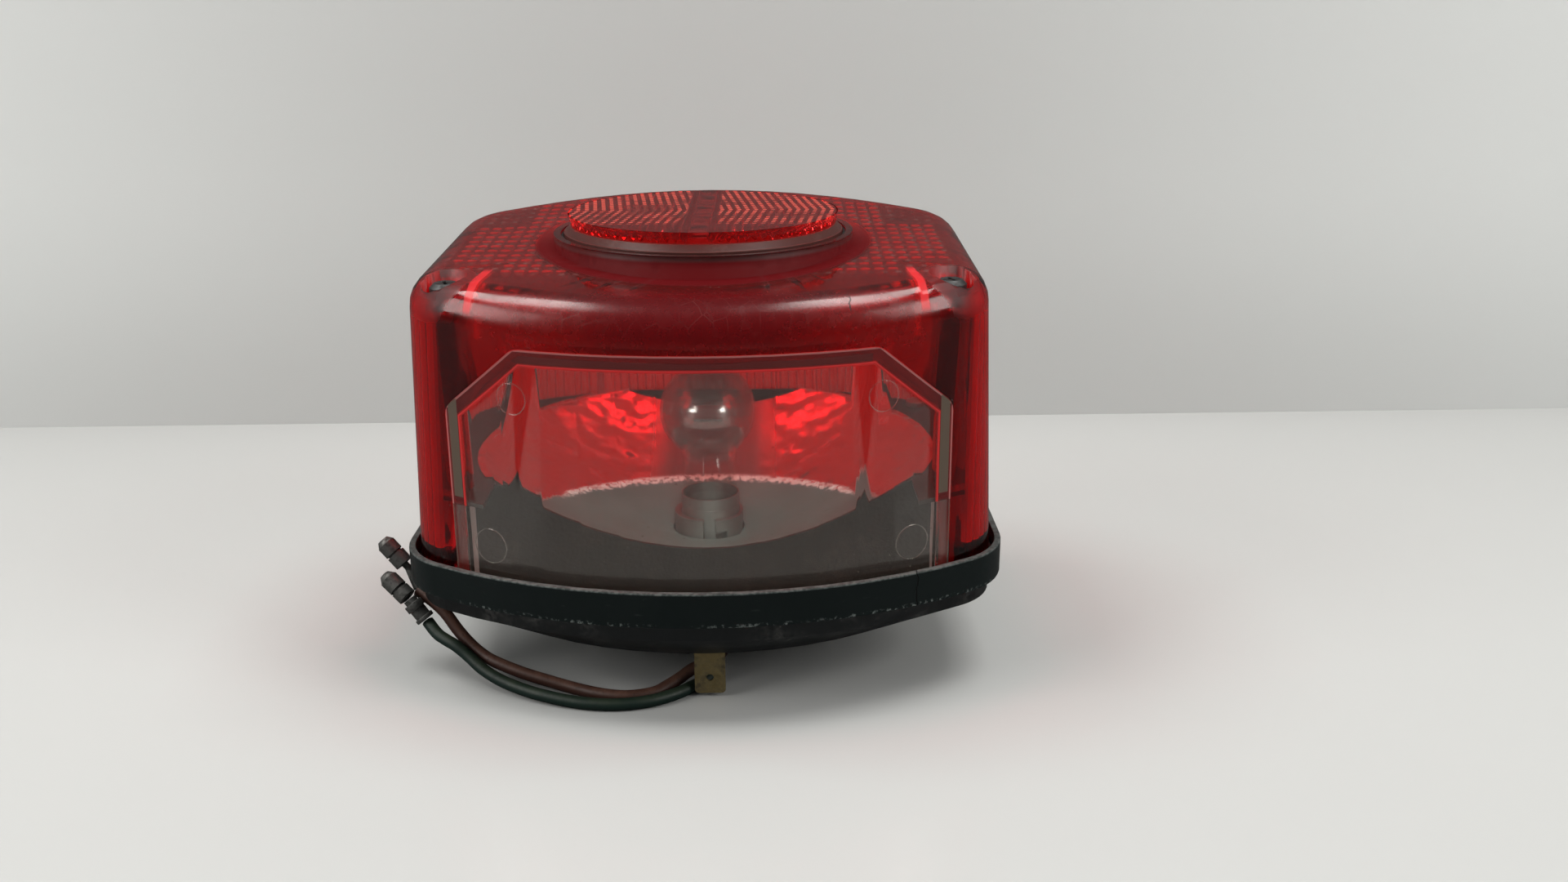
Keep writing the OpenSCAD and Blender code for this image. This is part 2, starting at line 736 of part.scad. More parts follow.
module rear_pillars() {
    color([0.5, 0.5, 0.5]) at_screws(1) difference() {
        rod(0, 0, boss_z, pillar_top_z - boss_z - fit_gap, pillar_r);
        rod(0, 0, boss_z + 8, 40, frame_screw_r + thread_gap);
    }
}

module frame_screws() {
    color([0.5, 0.5, 0.5]) at_screws(1) union() {
        rod(0, 0, frame_z - frame_screw_l, frame_screw_l + fit_gap + tiny, frame_screw_r);
        rod(0, 0, frame_z + fit_gap, frame_head_h, frame_head_r);
    }
}

// Profile of the bulb envelope at radius offset d, from the neck to the top.
function globe_profile(d) =
    let (r = globe_r - d, neck = cap_r - 0.6 - d, a0 = -acos(neck / r))
    concat([[neck, cap_top_z - 2 + d]],
           [for (i = [0 : 12]) let (a = a0 + (90 - a0) * i / 12) [r * cos(a), globe_z + r * sin(a)]]);

module bulb_glass() {
    outer = globe_profile(0);
    inner = globe_profile(glass_t);
    color([0.9, 0.9, 0.9, 0.3]) rotate_extrude($fn = round_fn)
        polygon(concat([[cap_r - 2, cap_top_z - 2]], outer,
                       [for (i = [len(inner) - 1 : -1 : 0]) inner[i]], [[cap_r - 2, cap_top_z - 2 + glass_t]]));
}

module bulb_cap() {
    color([0.75, 0.65, 0.35]) difference() {
        union() {
            rod(0, 0, cap_z, cap_top_z - cap_z - 3, cap_r);
            rod(0, 0, cap_top_z - 3 - tiny, 3, cap_r - 0.1);
        }
        rod(0, 0, cap_z - 1, cap_top_z - cap_z + 5, cap_r - 0.5);
    }
}

module bulb_pins() {
    color([0.75, 0.65, 0.35]) for (s = [0, 180]) rotate([0, 0, s + turn]) translate([0, -cap_r, pin_z])
        rotate([90, 0, 0]) cylinder(h = pin_reach - cap_r, r = pin_r, $fn = 32);
}

module bulb_insulator() {
    color([0.1, 0.1, 0.1]) rod(0, 0, cap_z, insulator_t, cap_r - 0.55);
}

module bulb_contacts() {
    color([0.7, 0.7, 0.68]) for (s = [-1, 1]) translate([s * contact_x, 0, cap_z - 1])
        cylinder(h = 1, r1 = contact_r * 0.6, r2 = contact_r, $fn = 32);
}

module bulb_stem() {
    color([0.85, 0.85, 0.85, 0.6]) union() {
        rod(0, 0, cap_z + insulator_t, stem_h, stem_r);
        for (s = [-1, 1]) rod(s * 1.6, 0, cap_z + stem_h + 2, globe_z - cap_z - stem_h - 1, 0.3);
    }
}

module bulb_filaments() {
    color([0.5, 0.5, 0.5]) for (z = [globe_z - 3, globe_z + 1.5]) translate([-3.6, 0.7, z])
        rotate([0, 90, 0]) cylinder(h = 7.2, r = 0.35, $fn = 16);
}

// Sector between two angles, wide enough to cut through the holder wall.
function sector(a, b) = [for (p = [[5, a], [12, a], [12, b], [5, b]]) p[0] * [cos(p[1]), sin(p[1])]];

// The pin slot in the holder: the lower field and the way in from above.
module pin_slot() {
    half = pin_r + 0.35;
    side = asin(half / bore_r);
    for (s = [-90, 90]) translate([0, 0, pin_z - travel - half]) {
        linear_extrude(travel + 2 * half) polygon(sector(s - side, s + turn + side));
        translate([0, 0, half]) linear_extrude(30) polygon(sector(s - side, s + side));
    }
}

module socket_shell() {
    color([0.6, 0.6, 0.58]) difference() {
        union() {
            rod(0, 0, cup_z, cup_top_z - cup_z, cup_r);
            rod(0, 0, inside_z + fit_gap, 1, flange_r);
        }
        rod(0, 0, cup_z + cup_t, 60, bore_r);
        pin_slot();
        for (s = [-1, 1]) rod(s * rivet_x, 0, inside_z - 1, 4, rivet_r + 0.1);
        translate([0, -6.5, lead_z]) rotate([90, 0, 0]) union() {
            for (s = [-1, 1]) translate([s * lead_x, 0, 0]) cylinder(h = 8, r = bush_r + 0.05, $fn = 32);
        }
    }
}

module socket_rivets() {
    color([0.6, 0.6, 0.6]) for (s = [-1, 1]) union() {
        rod(s * rivet_x, 0, pan_z - 1.1, 4, rivet_r);
        rod(s * rivet_x, 0, pan_z - 1.1, 1.1 - fit_gap, rivet_head_r);
        rod(s * rivet_x, 0, inside_z + 1 + 2 * fit_gap, 1, rivet_head_r);
    }
}

module contact_plate() {
    color([0.45, 0.28, 0.14]) rod(0, 0, plate_low_z, plate_t, plate_rr);
}

module socket_contacts() {
    low = plate_low_z + plate_t;
    color([0.8, 0.65, 0.3]) for (s = [-1, 1]) rod(s * contact_x, 0, low, cap_z - 1 - fit_gap - low, 1.4);
}

module contact_spring() {
    low = cup_z + cup_t + coil_wire_r;
    high = plate_low_z - coil_wire_r;
    steps = round(coil_turns * coil_steps);
    color([0.6, 0.6, 0.6]) sweep([for (i = [0 : steps]) let (a = -90 + 360 * coil_turns * i / steps)
        [coil_r * cos(a), coil_r * sin(a), low + (high - low) * i / steps]], coil_wire_r, 6);
}

module socket_leads() {
    color([0.35, 0.2, 0.12]) for (s = [-1, 1]) union() {
        rod(s * lead_x, 0, lead_z, plate_low_z - lead_z, lead_r);
        translate([s * lead_x, 0, lead_z]) sphere(r = lead_r, $fn = 24);
        translate([s * lead_x, 0, lead_z]) rotate([90, 0, 0]) cylinder(h = lead_l, r = lead_r, $fn = 32);
    }
}

module lead_bush() {
    color([0.08, 0.08, 0.08]) translate([0, -lead_l, lead_z]) rotate([90, 0, 0]) union() {
        for (s = [-1, 1]) translate([s * lead_x, 0, 0]) cylinder(h = -lead_l - bush_y, r = bush_r, $fn = 32);
    }
}

module mounting_studs() {
    thread_z = pan_z - pad_t - 0.2;
    color([0.55, 0.55, 0.55]) at_studs() union() {
        rod(0, 0, 0, thread_z, stud_r);
        rod(0, 0, thread_z - tiny, inside_z + 1 - thread_z, stud_r - 0.1);
        rod(0, 0, inside_z + fit_gap, 3, stud_head_r);
    }
}

module earth_tab() {
    top = pan_z - fit_gap;
    color([0.7, 0.6, 0.35]) difference() {
        union() {
            translate([tab_x - tab_w / 2, tab_y, tab_z + 1]) cube([tab_w, tab_t, top - tab_z - 1]);
            translate([tab_x - tab_w / 2 + 1, tab_y, tab_z]) cube([tab_w - 2, tab_t, 3]);
            for (s = [-1, 1]) translate([tab_x + s * (tab_w / 2 - 1), tab_y + tab_t, tab_z + 1])
                rotate([90, 0, 0]) cylinder(h = tab_t, r = 1, $fn = 32);
            translate([tab_x - tab_w / 2, tab_y, top - tab_t]) cube([tab_w, 9, tab_t]);
        }
        translate([tab_x, tab_y + 2, tab_hole_z]) rotate([90, 0, 0]) cylinder(h = 4, r = tab_hole_r, $fn = 48);
        rod(tab_x, tab_y + 4.8, pan_z - 3, 6, 1.3);
    }
}

module tab_rivet() {
    top = pan_z - fit_gap;
    color([0.6, 0.55, 0.4]) union() {
        rod(tab_x, tab_y + 4.8, top - tab_t - 0.8, tab_t + pan_t + 1, 1.2);
        rod(tab_x, tab_y + 4.8, top - tab_t - 1 - fit_gap, 1, 2.2);
        rod(tab_x, tab_y + 4.8, inside_z + fit_gap, 0.8, 2.2);
    }
}

module brown_wire() {
    color([0.3, 0.17, 0.12]) sweep(brown_route, wire_r, wire_sides);
}

module green_wire() {
    color([0.08, 0.22, 0.15]) sweep(green_route, wire_r, wire_sides);
}

// A stack of short cylinders along the line from p to q: each entry is [start, length, radius].
module stack(p, q, parts) {
    along(p, q) union() {
        for (e = parts) translate([0, 0, e[0]]) cylinder(h = e[1], r = e[2], $fn = 32);
    }
}

module brown_bullet() {
    a = brown_route[len(brown_route) - 1];
    color([0.3, 0.3, 0.29]) union() {
        stack(a, brown_tail, [[0.6, norm(brown_tail - a) - 0.1, 0.9]]);
        stack(brown_tail, brown_tip, [[-0.3, 1.9, 0.9], [1.5, 3.2, bullet_r], [4.6, 0.7, bullet_r - 0.5],
                                      [5.2, 3, bullet_r]]);
        along(brown_tail, brown_tip) translate([0, 0, 8.1]) cylinder(h = 1.4, r1 = bullet_r, r2 = 1.4, $fn = 32);
    }
}

module green_barrel() {
    a = green_route[len(green_route) - 1];
    color([0.2, 0.21, 0.2]) stack(a, green_mid, [[0.75, 1, bullet_r], [1.6, 2.7, bullet_r - 0.4], [4.2, 1.8, bullet_r],
                                                 [5.9, norm(green_mid - a) - 5.9, bullet_r - 0.7]]);
}

module green_bullet() {
    color([0.25, 0.26, 0.25]) union() {
        stack(green_mid, green_tip, [[0.5, 0.4, bullet_r - 0.6], [0.7, 2.6, bullet_r], [3.2, 0.8, bullet_r - 0.6],
                                     [3.9, 3.4, bullet_r]]);
        along(green_mid, green_tip) translate([0, 0, 7.2]) cylinder(h = 1.6, r1 = bullet_r, r2 = 1.3, $fn = 32);
    }
}

lens_shell();
number_plate_window();
reflex_reflector();
reflector_backplate();
reflector_seal();
lens_screw_left();
lens_screw_right();
screw_washer_left();
screw_washer_right();
base_rim();
lens_gasket();
base_pan();
mount_pad();
silver_bowl();
bowl_frame();
screw_pillars();
rear_pillars();
frame_screws();
bulb_glass();
bulb_cap();
bulb_pins();
bulb_insulator();
bulb_contacts();
bulb_stem();
bulb_filaments();
socket_shell();
socket_rivets();
contact_plate();
socket_contacts();
contact_spring();
socket_leads();
lead_bush();
mounting_studs();
earth_tab();
tab_rivet();
brown_wire();
green_wire();
brown_bullet();
green_barrel();
green_bullet();
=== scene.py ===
"""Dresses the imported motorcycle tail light: wires, red mouldings, reflector, metal and rubber parts, studio."""

import logging
import math
from abc import ABC, abstractmethod
from dataclasses import dataclass
from enum import Enum
from functools import cached_property
from itertools import accumulate, product
from typing import Callable, Sequence

import bpy
from mathutils import Matrix, Vector


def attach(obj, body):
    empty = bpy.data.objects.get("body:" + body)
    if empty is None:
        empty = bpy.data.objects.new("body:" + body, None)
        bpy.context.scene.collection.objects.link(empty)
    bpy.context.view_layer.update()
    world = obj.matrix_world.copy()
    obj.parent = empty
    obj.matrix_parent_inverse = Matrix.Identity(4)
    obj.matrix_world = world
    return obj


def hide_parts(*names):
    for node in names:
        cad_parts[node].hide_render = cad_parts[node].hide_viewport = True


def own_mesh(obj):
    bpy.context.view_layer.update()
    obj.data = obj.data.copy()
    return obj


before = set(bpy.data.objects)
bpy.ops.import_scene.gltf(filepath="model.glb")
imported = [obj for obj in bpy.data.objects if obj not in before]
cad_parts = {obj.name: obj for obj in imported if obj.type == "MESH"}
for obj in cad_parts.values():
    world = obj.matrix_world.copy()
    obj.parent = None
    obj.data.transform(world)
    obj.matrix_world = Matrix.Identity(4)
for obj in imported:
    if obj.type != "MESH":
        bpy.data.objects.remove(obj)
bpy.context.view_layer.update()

MM = 0.001
TURN = 2 * math.pi
ACRYLIC_IOR = 1.49
MERGE_GAP = 0.002 * MM
FLAT_DEGREES = 0.2
PILLOW_PITCH = (3.2, 4.8)
INNER_GLOW = ((0.8, 0.012, 0.018), (1.0, 0.03, 0.03))
LOG = logging.getLogger("tail_light")

Colour = Point = tuple[float, float, float]
Pair = tuple[float, float]
Piece = bpy.types.Object
Material = bpy.types.Material
World = bpy.types.World


# Shader maths


def operation(name: str, swapped: bool = False) -> Callable[..., "Value"]:
    """A method of Value that adds a Math node.

    Args:
        name: operation of the node.
        swapped: whether the other term comes first.

    Returns:
        The method.
    """

    def method(self: "Value", *others: "Term") -> "Value":
        """Adds the node and returns its result."""
        return self.recipe.maths(name, *((*others, self) if swapped else (self, *others)))

    return method


class Value:
    """A socket of a node tree, with arithmetic that adds Math nodes; a wave is the sine of radians."""

    def __init__(self, recipe: "Recipe", socket: bpy.types.NodeSocket) -> None:
        """Keeps the socket and the recipe that it belongs to."""
        self.recipe = recipe
        self.socket = socket

    __add__ = __radd__ = operation("ADD")
    __mul__ = __rmul__ = operation("MULTIPLY")
    __sub__, __rsub__ = operation("SUBTRACT"), operation("SUBTRACT", swapped=True)
    __truediv__ = operation("DIVIDE")
    __abs__ = operation("ABSOLUTE")
    wave = operation("SINE")
    largest = operation("MAXIMUM")
    smallest = operation("MINIMUM")

    def fade(self, start: float, end: float) -> "Value":
        """A smooth step.

        Args:
            start: value that gives 0.
            end: value that gives 1; it may be the lower one.

        Returns:
            The step, from 0 to 1.
        """
        limits = {"Value": self, "From Min": min(start, end), "From Max": max(start, end)}
        step = self.recipe.node("ShaderNodeMapRange", {"interpolation_type": "SMOOTHSTEP"}, limits)
        return step if start <= end else 1 - step

    def band(self, middle: float, half: float, soft: float) -> "Value":
        """1 up to half a width from a middle value, fading to 0 over the soft width beyond it."""
        return abs(self - middle).fade(half + soft, half)


Term = Value | float
Input = Value | float | tuple[float, ...]


class Recipe:
    """The nodes of a material or world, added one at a time."""

    def __init__(self, name: str, shelf: str = "materials") -> None:
        """Starts an empty node tree on a new material, or on a new world where the shelf is worlds."""
        self.owner = getattr(bpy.data, shelf).new(name)
        self.owner.use_nodes = True
        self.tree = self.owner.node_tree
        self.tree.nodes.clear()

    def node(
        self, kind: str, settings: dict[str, object], inputs: dict[str | int, Input], output: str | int = 0
    ) -> Value:
        """Adds a node.

        Args:
            kind: type of the node.
            settings: its properties, set first.
            inputs: value or link of each socket, by name or number.
            output: the socket that is returned.

        Returns:
            That socket, wrapped.
        """
        made = self.tree.nodes.new(kind)
        for key, value in settings.items():
            setattr(made, key, value)
        for key, value in inputs.items():
            socket = made.inputs[key]
            if isinstance(value, Value):
                self.tree.links.new(value.socket, socket)
            elif isinstance(value, tuple) and len(value) < len(socket.default_value):
                socket.default_value = (*value, 1.0)
            else:
                socket.default_value = value
        return Value(self, made.outputs[output])

    def maths(self, operation: str, *terms: Term) -> Value:
        """Adds a Math node on the given terms."""
        return self.node("ShaderNodeMath", {"operation": operation}, dict(enumerate(terms)))

    def place(self, scale: Point = (1, 1, 1)) -> Value:
        """Object coordinates, in metres, scaled by a Mapping node."""
        here = self.node("ShaderNodeTexCoord", {}, {}, "Object")
        return self.node("ShaderNodeMapping", {}, {"Vector": here, "Scale": scale})

    def axes(self, vector: Value) -> list[Value]:
        """The three parts of a vector."""
        parts = self.node("ShaderNodeSeparateXYZ", {}, {"Vector": vector}).socket.node
        return [Value(self, socket) for socket in parts.outputs]

    @cached_property
    def here(self) -> list[Value]:
        """The x, y and z of the place, in metres."""
        return self.axes(self.place())

    def noise(self, size: float, detail: float = 3, scale: Point = (1, 1, 1)) -> Value:
        """Noise from 0 to 1 with features of a size in metres, along axes that may be scaled."""
        inputs = {"Vector": self.place(scale), "Scale": 1 / size, "Detail": detail, "Roughness": 0.55}
        return self.node("ShaderNodeTexNoise", {}, inputs, "Fac")

    def cells(self, feature: str, size: float, scale: Point = (1, 1, 1)) -> Value:
        """Distance within irregular cells of a size in metres, from their middles or to their edges."""
        inputs = {"Vector": self.place(scale), "Scale": 1 / size}
        return self.node("ShaderNodeTexVoronoi", {"feature": feature}, inputs, "Distance")

    def specks(self, size: float, share: float) -> Value:
        """1 inside small round specks, by their distance in metres and their radius as a share of it."""
        return self.cells("F1", size).fade(share, share * 0.5)

    def mix(self, factor: Term, first: Input, second: Input) -> Value:
        """Mixes two colours by a factor."""
        return self.node("ShaderNodeMix", {"data_type": "RGBA"}, {0: factor, 6: first, 7: second}, 2)

    def bump(self, height: Value, distance: float) -> Value:
        """A normal bent by a height, whose 1 stands for a distance in metres."""
        return self.node("ShaderNodeBump", {}, {"Height": height, "Distance": distance, "Strength": 1.0}, "Normal")

    def principled(self, **inputs: Input) -> Value:
        """A Principled shader; the underscores in the names of its sockets stand for spaces."""
        return self.node("ShaderNodeBsdfPrincipled", {}, {key.replace("_", " "): v for key, v in inputs.items()})

    def blend(self, factor: Term, first: Value, second: Value) -> Value:
        """Mixes two shaders by a factor."""
        return self.node("ShaderNodeMixShader", {}, {0: factor, 1: first, 2: second})

    def clear_film(self, tint: Colour) -> Value:
        """A see-through shader of one tint."""
        return self.node("ShaderNodeBsdfTransparent", {}, {"Color": tint})

    def light_path(self, output: str) -> Value:
        """1 for rays of the named sort."""
        return self.node("ShaderNodeLightPath", {}, {}, output)

    def lamp_through(self, shader: Value, tint: Colour) -> Value:
        """Lets lamp light pass a clear shader as through a film of half the depth of its tint."""
        film = self.clear_film(tuple(math.sqrt(c) for c in tint))
        return self.blend(self.light_path("Is Shadow Ray"), shader, film)

    def finish(self, shader: Value) -> Material | World:
        """Connects the shader to an output.

        Args:
            shader: the shader of the whole surface or sky.

        Returns:
            The material or world.
        """
        output = "ShaderNodeOutputWorld" if isinstance(self.owner, World) else "ShaderNodeOutputMaterial"
        self.tree.links.new(shader.socket, self.tree.nodes.new(output).inputs["Surface"])
        return self.owner

    def surface(self, **inputs: Input) -> Material:
        """Finishes the material with a single Principled shader."""
        return self.finish(self.principled(**inputs))


# Finishes; heights, depths and distances in them are in metres in the frame of the lamp


@dataclass(frozen=True)
class Finish(ABC):
    """A named material, whose kinds lay their own nodes."""

    name: str

    def make(self) -> Material:
        """Builds the material."""
        return self.lay(Recipe(self.name))

    @abstractmethod
    def lay(self, r: Recipe) -> Material:
        """Lays the nodes on a recipe and finishes it."""


@dataclass(frozen=True)
class RedMoulding(Finish):
    """Clear red acrylic with haze and dust; the lens has crazing, painted shade, a painted glow and painted glints,
    and the reflector has painted glints as bright dashes.
    """

    tint: Colour = (0.5, 0.006, 0.01)
    haze: float = 0.008
    # share of dust on the upper face, laid thick enough to stand in for a painted sheen too
    face_dust_and_sheen: float = 0.05
    crazed_with_painted_light: bool = False
    # painted glints as bright dashes on the reflector
    dashes: bool = False
    dusts: tuple[Colour, Colour] = ((0.20, 0.075, 0.07), (0.34, 0.2, 0.18))
    pocket: Pair = (57.6 * MM, -34.5 * MM)
    streak_x: float = 44.4 * MM
    split_x: float = 33.5 * MM
    split_z: float = 97.9 * MM
    dash_pitch: Pair = (2.1 * MM, 2.3 * MM)

    def lay(self, r: Recipe) -> Material:
        """Lays the nodes."""
        x, y, z = r.here
        cloud = r.noise(9 * MM, 4)
        edge = z.fade(0.0905, 0.095) * y.fade(-0.044, -0.052)
        hollow = (x * x + y * y).fade(0.0425**2, 0.0405**2) * z.fade(0.0955, 0.0975) * z.fade(0.1055, 0.1045)
        # dust on the upper face, which is also a painted sheen
        film = self.haze + self.face_dust_and_sheen * z.fade(0.0975, 0.1015) * (0.6 + 0.8 * cloud)
        film = film + r.specks(1.5 * MM, 0.16) * cloud.fade(0.5, 0.75) * 0.5
        rough = 0.05 + 0.1 * r.noise(3 * MM, 4).fade(0.45, 0.8)
        # crazing and dust, painted glints of the pillows, and rougher patches
        if self.crazed_with_painted_light:
            film = film + self.wear(r, cloud, edge)
            across, along = abs(x) - self.pocket[0], y - self.pocket[1]
            pocket = (across * across + along * along).fade(0.0085**2, 0.0065**2) * z.fade(0.09, 0.093)
            front = z.fade(0.084, 0.088) * y.fade(-0.04, -0.048)
            rough = rough + (0.45 * hollow.largest(pocket)).largest(0.2 * front)
        ripple = r.bump(r.noise(16 * MM, 2), 0.00025)
        clear = r.principled(
            Base_Color=self.tint, Roughness=rough, IOR=ACRYLIC_IOR, Transmission_Weight=1.0, Coat_Roughness=0.14,
            Coat_Weight=edge * z.fade(0.0965, 0.0985) * abs(x).fade(0.008, 0.024), Normal=ripple,
        )
        dust = r.principled(Base_Color=r.mix(cloud, *self.dusts), Roughness=0.55, Normal=ripple)
        body = r.blend(film.smallest(0.9), clear, dust)
        if self.dashes:
            body = self.dashed(r, body)
        # painted shade, a painted glow along the pockets, and a split
        if self.crazed_with_painted_light:
            body = self.marked(r, body, cloud, hollow)
        return r.finish(r.lamp_through(body, self.tint))

    def wear(self, r: Recipe, cloud: Value, edge: Value) -> Value:
        """Dust by the collar, crazing on the front edge, and painted glints in rows where the pillows lie under the
        face.

        Args:
            r: recipe of the material.
            cloud: broad noise.
            edge: mask of the front edge.

        Returns:
            What they add to the film.
        """
        x, y, z = r.here
        out = x * x + y * y
        collar = out.fade(0.0405**2, 0.0375**2) * z.fade(0.1045, 0.1015) * z.fade(0.098, 0.0995) * y.fade(0.01, -0.02)
        lines = r.cells("DISTANCE_TO_EDGE", 4 * MM, (1, 1, 0.35)).fade(0.02, 0)
        craze = lines * edge * r.noise(14 * MM, 2).fade(0.42, 0.6)
        # painted glints of the pillows under the face, laid as a pale film in rows
        across, along = (TURN / (pitch * MM) for pitch in PILLOW_PITCH)
        rows = (x * across).wave().fade(0.1, 0.7) * (y * along).wave().fade(0.2, 0.8) * cloud.fade(0.3, 0.6)
        rows = rows * out.fade(0.041**2, 0.043**2) * z.fade(0.0985, 0.1) * y.fade(-0.036, -0.032)
        rows = rows * abs(x).fade(0.061, 0.059)
        return 0.14 * collar * r.noise(1.2 * MM, 5).fade(0.5, 0.7) + 0.3 * craze + 0.2 * rows

    def dashed(self, r: Recipe, body: Value) -> Value:
        """Lays rows of bright dashes, painted glints of the corners, under the top of the reflector.

        Args:
            r: recipe of the material.
            body: shader of the moulding.

        Returns:
            The shader with the dashes.
        """
        x, y, z = r.here
        across, along = (TURN / pitch for pitch in self.dash_pitch)
        # painted glints: bright dashes in rows where the corners would flash
        painted_glint = ((x + abs(y) * 0.12) * across).wave().fade(-0.2, 0.5)
        painted_glint = painted_glint * (y * along + r.noise(9 * MM, 2) * 3).wave().fade(-0.5, 0.3)
        painted_glint = painted_glint * abs(x).fade(3.5 * MM, 4.5 * MM) * y.fade(-0.024, -0.017) * z.fade(0.1094, 0.1098)
        painted_glint = painted_glint * (0.25 + 0.75 * r.noise(13 * MM, 2).fade(0.35, 0.6))
        return r.blend(painted_glint * 0.85, body, r.principled(Base_Color=(0.9, 0.12, 0.08), Roughness=0.5))

    def marked(self, r: Recipe, body: Value, cloud: Value, hollow: Value) -> Value:
        """Lays painted shade on the collar's foot and the middle of the front edge, a painted glow along the pockets,
        and a split.

        Args:
            r: recipe of the material.
            body: shader of the moulding.
            cloud: broad noise.
            hollow: mask of the collar's foot.

        Returns:
            The shader with the marks.
        """
        x, y, z = r.here
        # painted shade: a dark matt skin over the collar's foot and the middle of the front edge
        skin = r.principled(Base_Color=(0.12, 0.004, 0.006), Roughness=0.55, Specular_IOR_Level=0.03)
        middle = z.fade(0.086, 0.092) * y.fade(-0.042, -0.05) * abs(x).fade(0.034, 0.012) * 0.6
        foot = hollow * z.fade(0.1045, 0.1035) * y.fade(0.02, -0.01) * 0.88
        body = r.blend(foot.largest(middle), body, skin)
        # painted glow: a bright red streak along each screw pocket
        painted_glow_streak = abs(x) + y * 0.14 - self.streak_x - (r.noise(6 * MM, 2) - 0.5) * 0.0008
        painted_glow_streak = painted_glow_streak.band(0, 0.75 * MM, 0.5 * MM) * y.fade(-0.027, -0.031) * z.fade(0.0935, 0.0955)
        glow = r.principled(Base_Color=(1.0, 0.02, 0.03), Roughness=0.5)
        body = r.blend(painted_glow_streak * (0.4 + 0.6 * cloud) * 0.75, body, glow)
        wander = (r.noise(2 * MM, 2, (0, 1, 1)) - 0.5) * 0.0016
        split = abs(x + wander - self.split_x).fade(0.00022, 0.0001) * z.band(self.split_z, 1.9 * MM, 0.5 * MM)
        soot = r.principled(Base_Color=(0.01, 0.001, 0.001), Roughness=0.6)
        return r.blend(split * y.fade(-0.045, -0.05) * 0.8, body, soot)


@dataclass(frozen=True)
class ClearMoulding(Finish):
    """Clear acrylic with grey dust, a red border with a painted highlight line along its outer edge and a painted red
    glow along its inner edge, and slots along the edge of the window.
    """

    tint: Colour = (0.93, 0.91, 0.87)
    dusty: float = 0.034
    top: float = 84.1 * MM
    half: float = 54.4 * MM
    sill: float = 49 * MM

    def lay(self, r: Recipe) -> Material:
        """Lays the nodes."""
        x, _, z = r.here
        wide, cloud, low = abs(x), r.noise(14 * MM, 4), z.fade(0.06, 0.03)
        slot = wide.band(56 * MM, 1.0 * MM, 0.3 * MM) * z.band(62.8 * MM, 11.6 * MM, 0.5 * MM)
        outside = (z - self.top).largest(wide - self.half).largest(0.661 * wide + 0.751 * z - 0.089)
        above = z.fade(self.sill - 0.1 * MM, self.sill + 0.1 * MM)
        border = outside.fade(-0.1 * MM, 0.1 * MM) * above
        # painted bright red glow along the inner edge of the red border
        painted_joint_glow = outside.band(0, 0.25 * MM, 0.15 * MM) * above
        # painted pale highlight line along the outer edge of the red border
        painted_rim_highlight = outside.band(3.3 * MM, 0.15 * MM, 0.15 * MM)
        tint = r.mix(painted_joint_glow, r.mix(border, self.tint, (0.6, 0.08, 0.07)), (0.95, 0.06, 0.05))
        film = self.dusty * (0.35 + 0.5 * cloud + low * 0.8)
        film = film + r.specks(2.2 * MM, 0.12) * cloud.fade(0.45, 0.65) * 0.5 * (0.3 + low)
        film = (film + painted_rim_highlight * 0.22 + border * 0.3 + painted_joint_glow * 0.35 + slot * 0.5).smallest(0.85)
        # dust colours, with the painted lines and the slots laid over them
        dust_and_painted_lines = r.mix(cloud, (0.2, 0.17, 0.13), (0.34, 0.31, 0.26))
        dust_and_painted_lines = r.mix(border, dust_and_painted_lines, r.mix(painted_rim_highlight, (0.2, 0.02, 0.02), (0.6, 0.25, 0.24)))
        dust_and_painted_lines = r.mix(slot, r.mix(painted_joint_glow, dust_and_painted_lines, (0.8, 0.03, 0.03)), (0.13, 0.1, 0.07))
        rough = 0.015 + 0.05 * cloud
        clear = r.principled(Base_Color=tint, Roughness=rough, IOR=ACRYLIC_IOR, Transmission_Weight=1.0)
        dust = r.principled(Base_Color=dust_and_painted_lines, Roughness=0.7)
        return r.finish(r.lamp_through(r.blend(film, clear, dust), self.tint))


@dataclass(frozen=True)
class ThinGlass(Finish):
    """Thin clear glass of the bulb, smoked and glossy on its ball above the cap."""

    tint: Colour = (0.985, 0.98, 0.975)
    gloss: float = 0.1
    edge: float = 0.25
    smoke: float = 0.5
    ball_z: Pair = (44.5 * MM, 48.5 * MM)

    def lay(self, r: Recipe) -> Material:
        """Lays the nodes."""
        ball = 0.1 + 0.9 * r.here[2].fade(*self.ball_z)
        gloss = r.principled(Base_Color=(0.95, 0.95, 0.95), Metallic=1.0, Roughness=0.12)
        edge = (r.node("ShaderNodeFresnel", {}, {"IOR": 1.2}, "Fac") * self.edge + self.gloss) * ball
        smoke = r.principled(Base_Color=r.mix(r.noise(6 * MM), (0.05, 0.03, 0.03), (0.09, 0.06, 0.055)), Roughness=0.5)
        glass = r.blend(self.smoke * ball * r.noise(8 * MM), r.clear_film(self.tint), smoke)
        return r.finish(r.blend(edge, glass, gloss))


@dataclass(frozen=True)
class Metal(Finish):
    """Metal with orange peel and stains."""

    base: Colour = (0.6, 0.6, 0.58)
    stain: Colour = (0.12, 0.1, 0.08)
    stained: float = 0.3
    roughness: float = 0.3
    grain: float = 1.5 * MM
    depth: float = 0.00004
    metallic: float = 1.0

    def lay(self, r: Recipe) -> Material:
        """Lays the nodes."""
        spots = r.noise(self.grain * 2.5, 5).fade(0.62 - self.stained * 0.3, 0.72) * self.stained
        peel = r.noise(self.grain, 2)
        return r.surface(
            Base_Color=r.mix(spots, self.base, self.stain), Metallic=self.metallic * (1 - 0.7 * spots),
            Roughness=self.roughness + 0.25 * spots + 0.06 * peel, Normal=r.bump(peel, self.depth),
        )


